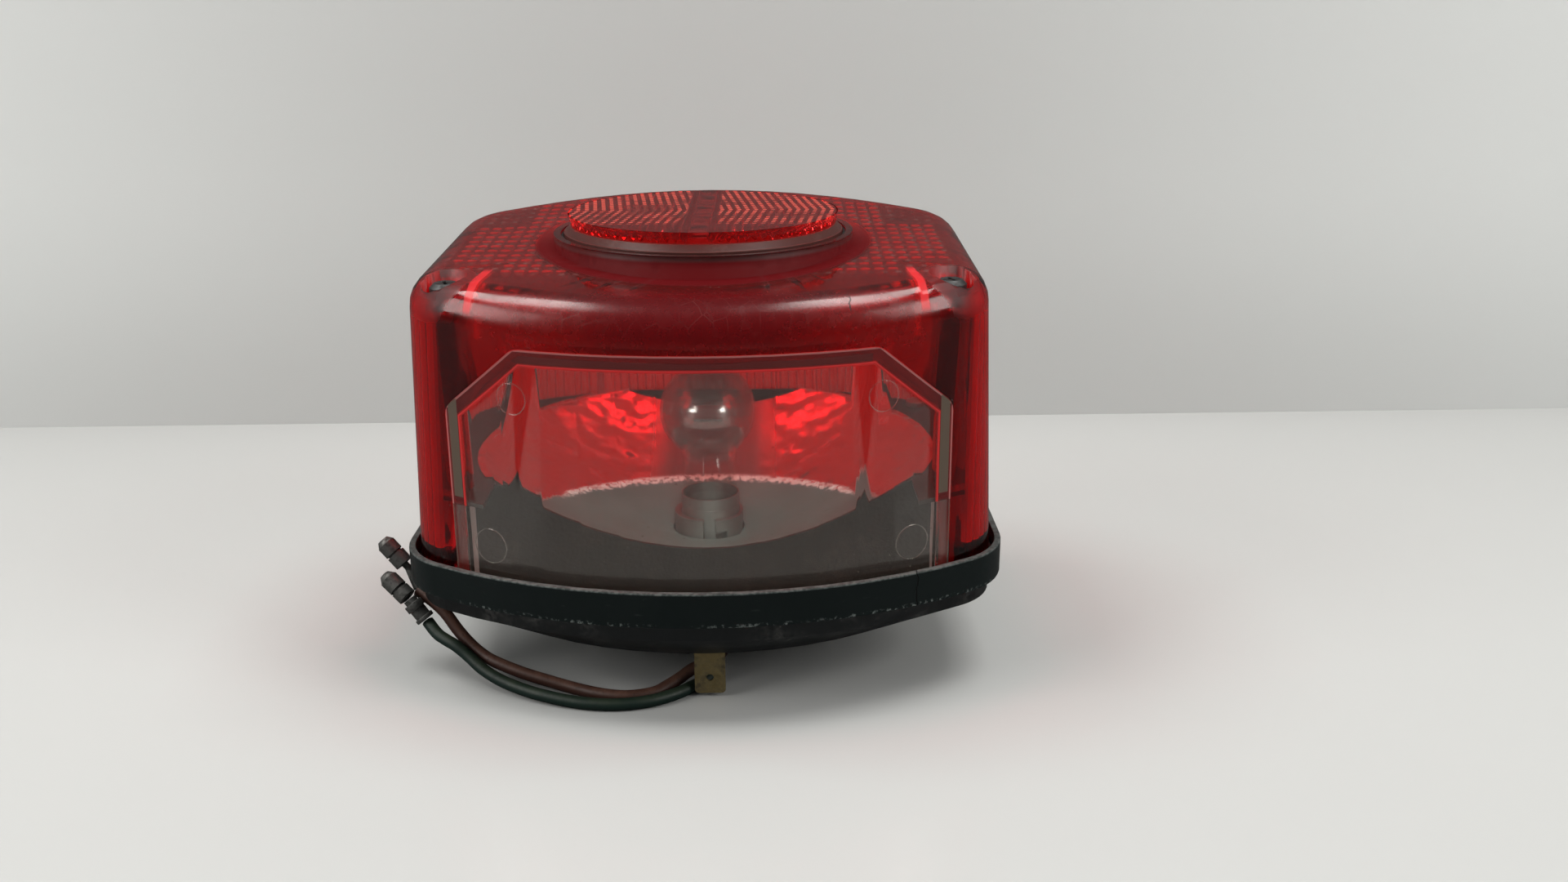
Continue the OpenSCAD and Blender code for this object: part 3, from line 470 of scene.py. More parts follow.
@dataclass(frozen=True)
class BowlSilver(Finish):
    """Silver bowl with orange peel and grit; painted grey reflection in front, painted highlight line round it,
    painted shadow in the middle, painted red light on the sides.
    """

    centre_y: float = -22 * MM
    half_x: float = 42 * MM
    half_y: float = 48 * MM

    def lay(self, r: Recipe) -> Material:
        """Lays the nodes."""
        x, y, _ = r.here
        peel, cloud = r.noise(1.3 * MM, 2), r.noise(16 * MM, 3)
        u, v = x / self.half_x, (y - self.centre_y) / self.half_y
        ring = u * u + v * v + (peel - 0.5) * 0.12
        # painted grey reflection of the room through the window: a duller, greyer zone inside this ring
        painted_grey_zone = ring.fade(1.02, 0.95)
        # painted highlight line round the grey zone
        line = ring.band(1.0, 0.02, 0.055) * peel.fade(0.35, 0.55) * y.fade(-0.0195, -0.018)
        line = line * abs(x).fade(0.0385, 0.037)
        grit = r.specks(6 * MM, 0.07) * cloud.fade(0.5, 0.6)
        # painted shadow in the middle, behind the bulb, and painted red light on the sides
        far = abs(x).fade(11 * MM, 20 * MM)
        swell = (r.noise(7 * MM, 1) - 0.5) * far * (1 - painted_grey_zone)
        silver_with_painted_light = r.mix(far, (0.3, 0.26, 0.26), (0.95, 0.6, 0.58))
        # greenish grey, so that the painted reflection looks neutral under the red light
        grey = r.mix(cloud, (0.08, 0.17, 0.16), (0.15, 0.32, 0.3))
        colour = r.mix(line, r.mix(painted_grey_zone, silver_with_painted_light, grey), (0.75, 1.0, 0.97))
        return r.surface(
            Base_Color=r.mix(grit, colour, (0.02, 0.018, 0.015)), Metallic=(1 - painted_grey_zone * 0.75) * (1 - line),
            Roughness=0.16 + (0.3 * painted_grey_zone).largest(0.35 - 0.35 * far) + 0.08 * cloud,
            Normal=r.bump(peel * 0.04 + swell, 0.0015),
        )


@dataclass(frozen=True)
class Dark(Finish):
    """Dark plastic, rubber or paint with dust and specks."""

    base: Colour = (0.02, 0.023, 0.023)
    dust: Colour = (0.22, 0.2, 0.17)
    dusty: float = 0.2
    roughness: float = 0.45
    grain: float = 1.2 * MM
    depth: float = 0.00003

    def lay(self, r: Recipe) -> Material:
        """Lays the nodes."""
        cloud, fine = r.noise(11 * MM, 4), r.noise(self.grain, 3)
        dirt = cloud.fade(0.45, 0.75) * fine.fade(0.35, 0.7) + r.specks(1.7 * MM, 0.14) * cloud.fade(0.48, 0.62)
        dirt = dirt * self.dusty
        return r.surface(
            Base_Color=r.mix(dirt, self.base, self.dust), Roughness=self.roughness + 0.3 * dirt + 0.1 * (fine - 0.5),
            Specular_IOR_Level=0.3, Normal=r.bump(fine, self.depth),
        )


@dataclass(frozen=True)
class RimBand(Finish):
    """Green-black moulded band, lighter along its top edge, specked along its lower one, and cracked once."""

    top: float = 33.7 * MM
    low: float = 25.2 * MM
    crack_x: float = 49.7 * MM

    def lay(self, r: Recipe) -> Material:
        """Lays the nodes."""
        x, y, z = r.here
        fine, cloud = r.noise(0.9 * MM, 4), r.noise(12 * MM, 3)
        # a pale line along the top edge
        edge = z.band(self.top, 0.25 * MM, 0.25 * MM) * (0.35 + 0.65 * fine.fade(0.35, 0.65))
        lower = z.band(self.low + 0.3 * MM, 0.3 * MM, 0.6 * MM) * fine.fade(0.52, 0.62) * cloud.fade(0.35, 0.6)
        scuff = r.noise(2.2 * MM, 5, (0.4, 0.4, 1.6)).fade(0.62, 0.74) * cloud.fade(0.42, 0.7) * 0.35
        wander = (r.noise(5 * MM, 2, (0, 0, 1)) - 0.5) * 0.004
        crack = abs(x + wander - self.crack_x).fade(0.00016, 0.00004) * y.fade(-0.03, -0.04)
        # pale line along the top edge, pale specks along the lower edge, and scuffs
        wear = (edge * 0.6 + lower * 0.55 + scuff * 0.4).smallest(0.8)
        colour = r.mix(wear, r.mix(cloud, (0.004, 0.008, 0.008), (0.007, 0.012, 0.012)), (0.2, 0.23, 0.22))
        return r.surface(
            Base_Color=r.mix(crack, colour, (0.001, 0.001, 0.001)), Specular_IOR_Level=0.25,
            Roughness=0.33 + 0.3 * wear + 0.14 * (fine - 0.5) + crack * 0.3,
            Normal=r.bump(fine * 0.4 + cloud - crack * 3, 0.00006),
        )


@dataclass(frozen=True)
class Insulation(Finish):
    """Soft coloured wire insulation, dirty, with painted light on its upper side."""

    base: Colour
    # colour of the painted light on the upper side
    pale: Colour

    def lay(self, r: Recipe) -> Material:
        """Lays the nodes."""
        up = r.axes(r.node("ShaderNodeNewGeometry", {}, {}, "Normal"))[2]
        cloud, fine = r.noise(5 * MM, 4), r.noise(0.7 * MM, 3)
        # painted light: upward faces paler, in patches
        painted_top_light = up.fade(0.1, 0.9) * (0.35 + 0.65 * cloud.fade(0.35, 0.65))
        colour = r.mix(painted_top_light * 0.7, self.base, self.pale)
        colour = r.mix(fine.fade(0.58, 0.7) * 0.4, colour, (0.02, 0.018, 0.015))
        return r.surface(Base_Color=colour, Roughness=0.42 + 0.2 * fine, Normal=r.bump(fine, 0.00003))


@dataclass(frozen=True)
class Studio(Finish):
    """Glossy pale board for the table and the wall, with a painted shadow round the lamp and a painted darkening where
    mirrored rays see it.
    """

    base: Colour = (0.65, 0.66, 0.65)
    roughness: float = 0.22
    # strength of the painted shadow round the lamp
    hollow: float = 0.0
    one_sided: bool = False
    # how much darker mirrored rays see it: a painted darkening of its reflections
    painted_reflection_dark: float = 0.97

    def lay(self, r: Recipe) -> Material:
        """Lays the nodes."""
        x, _, z = r.here
        cloud = r.noise(0.12, 3)
        # painted shadow, darker low down and near the lamp, with faint random tone
        shade = self.hollow * (1 - 0.47 * z.fade(0.01, 0.1) - 0.53 * abs(x).fade(0.05, 0.35)) + 0.03 * cloud
        pale = r.principled(
            Base_Color=r.mix(shade, self.base, (0.02, 0.018, 0.015)), Roughness=self.roughness + 0.03 * cloud,
            Specular_IOR_Level=0.4,
        )
        dim = r.principled(Base_Color=tuple(c * 0.1 for c in self.base), Roughness=0.8)
        # painted darkening of the board where mirrored rays see it
        mirrored = r.light_path("Is Glossy Ray") * (1 - r.light_path("Is Transmission Ray"))
        shader = r.blend(mirrored * self.painted_reflection_dark, pale, dim)
        if self.one_sided:
            behind = r.node("ShaderNodeNewGeometry", {}, {}, "Backfacing")
            shader = r.blend(behind, shader, r.clear_film((1.0, 1.0, 1.0)))
        return r.finish(shader)


# Modelling helpers


def activate(piece: Piece) -> None:
    """Selects only this object and makes it the active one."""
    bpy.ops.object.select_all(action="DESELECT")
    piece.select_set(True)
    bpy.context.view_layer.objects.active = piece


def settle(piece: Piece, name: str) -> Piece:
    """Names an object and moves its place into its mesh.

    Args:
        piece: the object.
        name: its new name.

    Returns:
        The same object, at the origin.
    """
    piece.name = piece.data.name = name
    activate(piece)
    bpy.ops.object.transform_apply(location=True, rotation=True, scale=True)
    return piece


def pick(piece: Piece, kind: str, test: Callable[[bpy.types.bpy_struct], bool]) -> None:
    """Selects parts of a mesh by a test and stays in edit mode.

    Args:
        piece: the mesh object.
        kind: VERT or FACE.
        test: says whether a vertex or face is selected.
    """
    activate(piece)
    bpy.ops.object.mode_set(mode="EDIT")
    bpy.ops.mesh.select_mode(type=kind)
    bpy.ops.mesh.select_all(action="DESELECT")
    out_of_edit()
    for item in piece.data.vertices if kind == "VERT" else piece.data.polygons:
        item.select = test(item)
    bpy.ops.object.mode_set(mode="EDIT")


def out_of_edit() -> None:
    """Leaves edit mode."""
    bpy.ops.object.mode_set(mode="OBJECT")


def smooth(degrees: float) -> None:
    """Shades the active object smooth, apart from edges sharper than an angle."""
    bpy.ops.object.shade_smooth_by_angle(angle=math.radians(degrees))


def use_modifier(piece: Piece, kind: str, **settings: object) -> None:
    """Adds a modifier, sets it and applies it.

    Args:
        piece: the mesh object.
        kind: type of the modifier.
        settings: its properties.
    """
    activate(piece)
    made = piece.modifiers.new(kind.title(), kind)
    for key, value in settings.items():
        setattr(made, key, value)
    bpy.ops.object.modifier_apply(modifier=made.name)


def join(pieces: Sequence[Piece], name: str) -> Piece:
    """Joins meshes into one object.

    Args:
        pieces: the mesh objects.
        name: name of the joined one.

    Returns:
        The joined object.
    """
    activate(pieces[0])
    for piece in pieces:
        piece.select_set(True)
    bpy.ops.object.join()
    return settle(pieces[0], name)


def duplicate(piece: Piece) -> Piece:
    """Copies an object with its own mesh and returns the copy."""
    made = piece.copy()
    made.data = piece.data.copy()
    bpy.context.collection.objects.link(made)
    return made


def paint(piece: Piece, material: Material) -> None:
    """Gives an object one material."""
    piece.data.materials.clear()
    piece.data.materials.append(material)


def install(piece: Piece, body: str, slot: str, material: Material, *nodes: str) -> None:
    """Paints a piece and fixes it to its body.

    Args:
        piece: the finished piece.
        body: the body that it rides on.
        slot: slot of the record that gives its finish.
        material: its material.
        nodes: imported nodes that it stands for.
    """
    paint(piece, material)
    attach(piece, body)
    if nodes:
        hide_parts(*nodes)
    LOG.info("%s rides on %s, finish %s", piece.name, body, slot)


def refined(node: str, name: str, angle: float = 30.0, bevel: float = 0.0) -> Piece:
    """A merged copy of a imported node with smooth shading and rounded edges.

    Args:
        node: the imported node.
        name: name of the copy.
        angle: edges sharper than this stay sharp, in degrees.
        bevel: width of the rounding, in millimetres.

    Returns:
        The copy.
    """
    made = duplicate(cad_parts[node])
    made.parent = None
    for key in list(made.keys()):
        del made[key]
    made.name = name
    activate(made)
    bpy.ops.object.mode_set(mode="EDIT")
    bpy.ops.mesh.select_all(action="SELECT")
    bpy.ops.mesh.remove_doubles(threshold=MERGE_GAP)
    bpy.ops.mesh.dissolve_limited(angle_limit=math.radians(FLAT_DEGREES))
    out_of_edit()
    if bevel:
        limit = math.radians(angle)
        use_modifier(made, "BEVEL", width=bevel * MM, segments=2, limit_method="ANGLE", angle_limit=limit)
    activate(made)
    smooth(angle)
    use_modifier(made, "WEIGHTED_NORMAL", keep_sharp=True)
    return made


@dataclass(frozen=True)
class Carried:
    """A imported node, the piece that stands for it, and its finish; the bevel is in millimetres."""

    node: str
    piece: str
    body: str
    slot: str
    finish: Finish
    bevel: float = 0.0
    angle: float = 32.0

    def build(self) -> Piece:
        """Makes the refined piece, installs it and returns it."""
        made = refined(self.node, self.piece, self.angle, self.bevel)
        install(made, self.body, self.slot, self.finish.make(), self.node)
        return made


# Camera


@dataclass
class Viewpoint:
    """The camera where the photograph was taken from; its turns are in radians."""

    spot: Point = (15.33 * MM, -343.51 * MM, 163.05 * MM)
    yaw: float = 0.0127
    pitch: float = 0.3194
    roll: float = -0.0049
    focal_px: float = 1691.26
    width_px: float = 1920.0
    sensor: float = 36.0

    def build(self) -> Piece:
        """Places the camera.

        Returns:
            The camera object.
        """
        bpy.ops.object.camera_add(location=self.spot)
        camera = bpy.context.object
        camera.name = "photo_camera"
        level = math.cos(self.pitch)
        ahead = Vector((math.sin(self.yaw) * level, math.cos(self.yaw) * level, -math.sin(self.pitch)))
        right = Vector((math.cos(self.yaw), -math.sin(self.yaw), 0.0))
        up = right.cross(ahead)
        side = right * math.cos(self.roll) + up * math.sin(self.roll)
        top = up * math.cos(self.roll) - right * math.sin(self.roll)
        turn = Matrix((side, top, -ahead)).transposed()
        camera.matrix_world = Matrix.Translation(self.spot) @ turn.to_4x4()
        camera.data.sensor_width = self.sensor
        camera.data.lens = self.focal_px / self.width_px * self.sensor
        camera.data.clip_start, camera.data.clip_end = 0.01, 20.0
        bpy.context.scene.camera = camera
        return camera


# Wires


@dataclass
class Wires:
    """The brown and the green wire with their old bullet connectors; the routes are in millimetres."""

    radius: float = 1.5 * MM
    old_metal: Metal = Metal("old_bullet_metal", (0.2, 0.2, 0.19), (0.02, 0.02, 0.018), 0.8, 0.5, 0.5 * MM)
    brown_skin: Insulation = Insulation("brown_insulation", (0.06, 0.022, 0.014), (0.2, 0.1, 0.07))
    green_skin: Insulation = Insulation("green_insulation", (0.004, 0.02, 0.014), (0.04, 0.055, 0.032))
    brown_route: tuple[Point, ...] = (
        (2, -9.8, 8.5), (2, -14, 8.5), (2, -18.5, 8.5), (2.6, -23, 8.3), (3.6, -28, 7.6), (4, -32, 6.8),
        (3.2, -36, 6), (0.4, -38.9, 5.4), (-3.4, -40.8, 4.6), (-6.4, -42.9, 3.3), (-9.4, -44.8, 2.2),
        (-12.6, -46.9, 1.5), (-18.7, -48.5, 1.5), (-25.1, -47.3, 1.5), (-31.8, -44.4, 1.6), (-38.3, -42.2, 2.5),
        (-44.9, -40, 3.6), (-51.8, -37, 5), (-55.8, -34.6, 6.2), (-59.3, -32.4, 8.3), (-62.4, -30.4, 11.1),
        (-65.4, -28.6, 14.6), (-68.8, -27, 17.2), (-72.6, -25, 19),
    )
    green_route: tuple[Point, ...] = (
        (-2, -9.8, 8.5), (-2, -14, 8.5), (-2, -18, 8.2), (-1.6, -22, 7.2), (-0.6, -26, 5.8), (0.8, -30, 4.3),
        (1.8, -34, 3), (1.6, -38, 2), (-0.7, -41.2, 1.6), (-3.4, -43.9, 1.5), (-6.8, -47.2, 1.5),
        (-12.3, -50.6, 1.5), (-18.4, -52.2, 1.5), (-24.5, -52.3, 1.5), (-30.9, -51, 1.5), (-37.4, -48.8, 1.8),
        (-42.4, -46.5, 2), (-47.5, -43.6, 2.4), (-51.5, -41.3, 3.2), (-55.1, -39, 4.5), (-58.6, -36.6, 6.6),
        (-61.7, -35, 8.5), (-64.4, -33.6, 9.5), (-67, -32, 10.6), (-69.6, -29.8, 12.8),
    )

    def line(self, name: str, route: Sequence[Point]) -> tuple[Piece, float]:
        """A round wire along a route.

        Args:
            name: name of the wire.
            route: points in millimetres.

        Returns:
            The curve object and its length in metres.
        """
        data = bpy.data.curves.new(name, "CURVE")
        data.dimensions = "3D"
        data.bevel_depth = self.radius
        data.bevel_resolution = 5
        data.use_fill_caps = True
        spline = data.splines.new("POLY")
        points = self.rounded([Vector(p) * MM for p in route])
        spline.points.add(len(points) - 1)
        for target, point in zip(spline.points, points):
            target.co = (*point, 1.0)
        spline.use_smooth = True
        made = bpy.data.objects.new(name, data)
        bpy.context.collection.objects.link(made)
        return made, sum((b - a).length for a, b in zip(points, points[1:]))

    @staticmethod
    def rounded(points: Sequence[Vector], parts: int = 4) -> list[Vector]:
        """Points of a smooth curve through the given ones.

        Args:
            points: points of the route.
            parts: steps between two of them.

        Returns:
            The points of the curve.
        """
        made = []
        for i in range(len(points) - 1):
            a, b, c, d = (points[min(max(k, 0), len(points) - 1)] for k in (i - 1, i, i + 1, i + 2))
            for t in (step / parts for step in range(parts)):
                bend = (2 * a - 5 * b + 4 * c - d) * t * t + (3 * b - a - 3 * c + d) * t**3
                made.append(0.5 * (2 * b + (c - a) * t + bend))
        return made + [points[-1]]

    def build(self) -> None:
        """Makes both wires and their connectors."""
        brown, brown_length = self.line("brown_lead", self.brown_route)
        green, green_length = self.line("green_lead", self.green_route)
        ends = {"brown_bullet": "brown_bullet_end", "green_barrel": "green_joint", "green_bullet": "green_bullet_end"}
        bullet, barrel, tip = (
            Carried(node, piece, "base", "old_metal", self.old_metal, 0.12).build() for node, piece in ends.items()
        )
        install(brown, "base", "wire_brown", self.brown_skin.make(), "brown_wire")
        install(green, "base", "wire_green", self.green_skin.make(), "green_wire")


# Lens


class Half(Enum):
    """Side of the lamp, seen from the window side."""

    LEFT = -1
    RIGHT = 1


@dataclass
class Lens:
    """The red lens with its inner flutes, pillows and webs, and the clear window; sizes are in millimetres."""

    foot: Pair = (70.0, 58.5)
    top: Pair = (67.25, 57.5)
    end_radius: float = 115.0
    corner_radius: float = 17.0
    outline_steps: tuple[int, int, int] = (20, 30, 60)
    wall: float = 2.6
    foot_z: float = 30.0
    face_z: float = 102.4
    face_slope: float = 0.045
    face_crown: float = 0.9
    flute_pitch: float = 2.5
    flute_r: float = 1.0
    flute_gap: float = 0.3
    flute_low: float = 36.0
    flute_high: float = 91.0
    flute_shares: Pair = (0.1, 0.93)
    front_half: float = 61.5
    front_y: float = -40.0
    pocket_x: float = 48.0
    pocket_y: Pair = (-42.0, -24.0)
    collar_r: float = 41.0
    pillow_half: float = 58.5
    pillow_front: float = -32.0
    pillow_end: float = 8.0
    pillow_rows: range = range(-8, 11)
    pillow_cols: range = range(-19, 20)
    pillow_shift: float = 1.5
    pillow_drop: float = 0.25
    corner: Pair = (46.0, 19.0)
    pillow_size: Point = (1.3, 1.0, 0.9)
    web_size: Point = (1.1, 15.0, 7.0)
    web_spot: Point = (49.6, -34.8, 93.4)
    web_degrees: Pair = (-3.0, 9.0)
    web_slant: Point = (0.4, -0.3, -2.0)
    web_rounding: float = 0.4
    red: RedMoulding = RedMoulding("lens_acrylic", crazed_with_painted_light=True)
    flute: RedMoulding = RedMoulding("flute_acrylic", (0.9, 0.05, 0.05), 0.45, 0.0, dusts=INNER_GLOW)
    pillow: RedMoulding = RedMoulding("pillow_acrylic", (0.9, 0.05, 0.05), 0.5, 0.0, dusts=INNER_GLOW)
    clear: ClearMoulding = ClearMoulding("window_acrylic")
    mark_thick: float = 0.11
    mark_sink: float = 0.02
    marks: tuple[Point, ...] = ((-41.3, 76.3, 3.6), (41.3, 76.3, 3.6), (-48.6, 40.3, 4.2), (48.6, 40.3, 4.2))

    def outline(self, share: float, inset: float, step: float) -> list[Pair]:
        """Evenly spaced points of the plan outline.

        Args:
            share: 0 at the foot and 1 at the top.
            inset: distance inwards from the outer skin.
            step: spacing.

        Returns:
            The points, anticlockwise from the right side.
        """
        hw = self.foot[0] + (self.top[0] - self.foot[0]) * share - inset
        hd = self.foot[1] + (self.top[1] - self.foot[1]) * share - inset
        r, b = self.corner_radius - inset, self.end_radius - inset
        cx, by = hw - r, hd - b
        cy = by + math.sqrt((b - r) ** 2 - cx**2)
        bend = math.atan2(cy - by, cx)
        flat, turn, bow = self.outline_steps
        quarter = [(hw, cy * i / flat) for i in range(flat)]
        quarter += [(cx + r * math.cos(bend * i / turn), cy + r * math.sin(bend * i / turn)) for i in range(turn)]
        turns = (bend + (math.pi / 2 - bend) * i / bow for i in range(bow + 1))
        quarter += [(b * math.cos(a), by + b * math.sin(a)) for a in turns]
        loop = quarter + [(-x, y) for x, y in reversed(quarter)]
        loop += [(-x, -y) for x, y in quarter] + [(x, -y) for x, y in reversed(quarter)]
        lengths = [0.0, *accumulate(math.dist(a, b) for a, b in zip(loop, loop[1:]))]
        count = round(lengths[-1] / step)
        spots, k = [], 0
        for i in range(count):
            goal = lengths[-1] * i / count
            while lengths[k + 1] < goal:
                k += 1
            t = (goal - lengths[k]) / max(lengths[k + 1] - lengths[k], 1e-9)
            spots.append(tuple(a + (b - a) * t for a, b in zip(loop[k], loop[k + 1])))
        return spots

    def face_at(self, x: float, y: float) -> float:
        """Height of the outer face at a point."""
        lean = self.face_slope * y
        return self.face_z + lean + (1 - (x / self.top[0]) ** 2) * (self.face_crown + lean)

    def end_at(self, x: float, depth: float) -> float:
        """How far back or forward the curved end wall lies at a point, where its middle lies at a depth."""
        return depth - self.end_radius + math.sqrt(self.end_radius**2 - x**2)

    def plain_wall(self, x: float, y: float) -> bool:
        """Whether the wall has no rib there: behind the window and beside the screw pockets."""
        near, far = self.pocket_y
        return abs(x) < self.front_half and (y < self.front_y or abs(x) > self.pocket_x and near < y < far)

    def flutes(self) -> Piece:
        """Upright half-round ribs inside the side, corner and rear walls.

        Returns:
            The joined ribs.
        """
        inset = self.wall + self.flute_gap
        low, high = (self.outline(share, inset, self.flute_pitch) for share in self.flute_shares)
        count = min(len(low), len(high))
        ribs = []
        for (x0, y0), (x1, y1) in zip(self.evenly(low, count), self.evenly(high, count)):
            if self.plain_wall(x0, y0):
                continue
            start, end = Vector((x0, y0, self.flute_low)) * MM, Vector((x1, y1, self.flute_high)) * MM
            bpy.ops.mesh.primitive_cylinder_add(
                vertices=10, radius=self.flute_r * MM, depth=(end - start).length, location=(start + end) / 2,
                rotation=(end - start).to_track_quat("Z", "Y").to_euler(),
            )
            ribs.append(bpy.context.object)
        made = join(ribs, "wall_flutes")
        smooth(50)
        return made

    @staticmethod
    def evenly(points: list[Pair], count: int) -> list[Pair]:
        """The given number of points out of a list, evenly spaced."""
        return [points[int(i * len(points) / count)] for i in range(count)]

    def pillow_fits(self, x: float, y: float) -> bool:
        """Whether a pillow has room there: outside the collar, inside the walls, and clear of the corners."""
        inside = abs(x) < self.pillow_half and self.pillow_front < y < self.end_at(x, self.foot[1]) - self.pillow_end
        return inside and math.hypot(x, y) > self.collar_r and (abs(x) <= self.corner[0] or abs(y) <= self.corner[1])

    def pillows(self) -> Piece:
        """Rows of small pillow lenses under the face, both sides of the collar.

        Returns:
            The joined pillows.
        """
        bpy.ops.mesh.primitive_uv_sphere_add(segments=10, ring_count=6, radius=1)
        pillow = bpy.context.object
        pick(pillow, "VERT", lambda v: v.co.z > 0.05)
        bpy.ops.transform.resize(value=(1, 1, 0.2))
        out_of_edit()
        made = []
        across, along = PILLOW_PITCH
        for row, col in product(self.pillow_rows, self.pillow_cols):
            x, y = col * across, row * along + self.pillow_shift
            if self.pillow_fits(x, y):
                one = duplicate(pillow)
                one.scale = Vector(self.pillow_size) * MM
                one.location = Vector((x, y, self.face_at(x, y) - self.wall - self.pillow_drop)) * MM
                made.append(one)
        bpy.data.objects.remove(pillow)
        pillows = join(made, "face_pillows")
        bpy.ops.object.shade_smooth()
        return pillows

    def webs(self) -> Piece:
        """Two thin upright webs under the face, inside the screw pockets.

        Returns:
            The joined webs.
        """
        webs = []
        x, y, z = (c * MM for c in self.web_spot)
        lean, turn = (math.radians(d) for d in self.web_degrees)
        out, ahead, down = (c * MM for c in self.web_slant)
        for side in Half:
            bpy.ops.mesh.primitive_cube_add(size=1)
            web = bpy.context.object
            web.scale = Vector(self.web_size) * MM
            web.rotation_euler = (lean, 0, -side.value * turn)
            web.location = (side.value * x, y, z)
            settle(web, "pocket_web")
            pick(web, "VERT", lambda v: v.co.z < z and v.co.y < y)
            bpy.ops.transform.translate(value=(side.value * out, ahead, down))
            out_of_edit()
            use_modifier(web, "BEVEL", width=self.web_rounding * MM, segments=2, limit_method="ANGLE")
            webs.append(web)
        made = join(webs, "pocket_webs")
        smooth(40)
        return made

    def mould_marks(self) -> Piece:
        """Fine round marks of the mould pins on the window.

        Returns:
            The joined rings.
        """
        rings = []
        for x, z, radius in self.marks:
            share = (z - self.foot_z) / (self.face_z - self.foot_z)
            y = -self.end_at(x, self.foot[1] + (self.top[1] - self.foot[1]) * share)
            bpy.ops.mesh.primitive_torus_add(
                major_segments=40, minor_segments=6, major_radius=radius * MM, minor_radius=self.mark_thick * MM,
                location=(x * MM, (y + self.mark_sink) * MM, z * MM),
                rotation=(TURN / 4, 0, math.asin(x / self.end_radius)),
            )
            rings.append(bpy.context.object)
        made = join(rings, "window_marks")
        bpy.ops.object.shade_smooth()
        return made

    def build(self) -> None:
        """Makes the lens with what is inside it, and the window."""
        pillow, clear = self.pillow.make(), self.clear.make()
        Carried("lens_shell", "red_lens_moulding", "lens", "red_lens", self.red).build()
        install(self.flutes(), "lens", "red_lens", self.flute.make())
        install(self.pillows(), "lens", "red_lens", pillow)
        install(self.webs(), "lens", "red_lens", pillow)
        window = refined("number_plate_window", "clear_window_moulding", 32)
        install(window, "lens", "clear_window", clear, "number_plate_window")
        install(self.mould_marks(), "lens", "clear_window", clear)


@dataclass
class Reflector:
    """The reflex reflector: a red disc with rows of corners on its underside, and a brown plate; in millimetres."""

    radius: float = 33.0
    top: float = 110.0
    low: float = 107.35
    roof: float = 1.3
    reach: float = 0.95
    cell: Pair = (2.0, 1.7)
    half: float = 34.0
    strip: float = 1.1
    rounding: float = 0.35
    red: RedMoulding = RedMoulding("reflector_acrylic", (0.85, 0.03, 0.03), 0.01, 0.0, dashes=True)
    brown: Dark = Dark("plate_brown", (0.09, 0.035, 0.03), (0.2, 0.14, 0.12), 0.3, 0.35)
    black: Dark = Dark("ring_rubber", (0.008, 0.008, 0.008), dusty=0.08, roughness=0.22)

    def disc(self) -> Piece:
        """The red disc with its corners.

        Returns:
            The disc.
        """
        across, deep = (round(2 * self.half / c) for c in self.cell)
        bpy.ops.mesh.primitive_grid_add(x_subdivisions=across, y_subdivisions=deep, size=2 * self.half * MM)
        slab = bpy.context.object
        slab.location.z = (self.top - self.roof) * MM
        settle(slab, "reflector_slab")
        pick(slab, "FACE", lambda f: abs(f.center.x) > self.strip * MM)
        bpy.ops.mesh.poke(offset=-(self.top - self.roof - self.low) * self.reach * MM)
        bpy.ops.mesh.select_mode(type="EDGE")
        bpy.ops.mesh.select_all(action="DESELECT")
        bpy.ops.mesh.select_non_manifold(extend=False)
        bpy.ops.mesh.extrude_region_move(TRANSFORM_OT_translate={"value": (0, 0, 2 * self.roof * MM)})
        bpy.ops.mesh.edge_face_add()
        bpy.ops.mesh.select_all(action="SELECT")
        bpy.ops.mesh.normals_make_consistent(inside=False)
        out_of_edit()
        bpy.ops.mesh.primitive_cylinder_add(
            vertices=128, radius=self.radius * MM, depth=(self.top - self.low) * MM,
            location=(0, 0, (self.top + self.low) / 2 * MM),
        )
        made = settle(bpy.context.object, "reflector_disc")
        pick(made, "FACE", lambda f: f.normal.z > 0.9)
        bpy.ops.mesh.inset(thickness=0.01 * MM)
        bpy.ops.mesh.bevel(offset=self.rounding * MM, segments=3)
        out_of_edit()
        use_modifier(made, "BOOLEAN", operation="INTERSECT", solver="EXACT", object=slab)
        bpy.data.objects.remove(slab)
        activate(made)
        smooth(25)
        return made

    def build(self) -> None:
        """Makes the disc, its plate and its ring."""
        install(self.disc(), "lens", "reflector_red", self.red.make(), "reflex_reflector")
        Carried("reflector_backplate", "reflector_plate", "lens", "reflector_brown", self.brown, 0.25, 30).build()
        Carried("reflector_seal", "reflector_ring", "lens", "black_ring", self.black, 0.1, 30).build()


# Base and inside


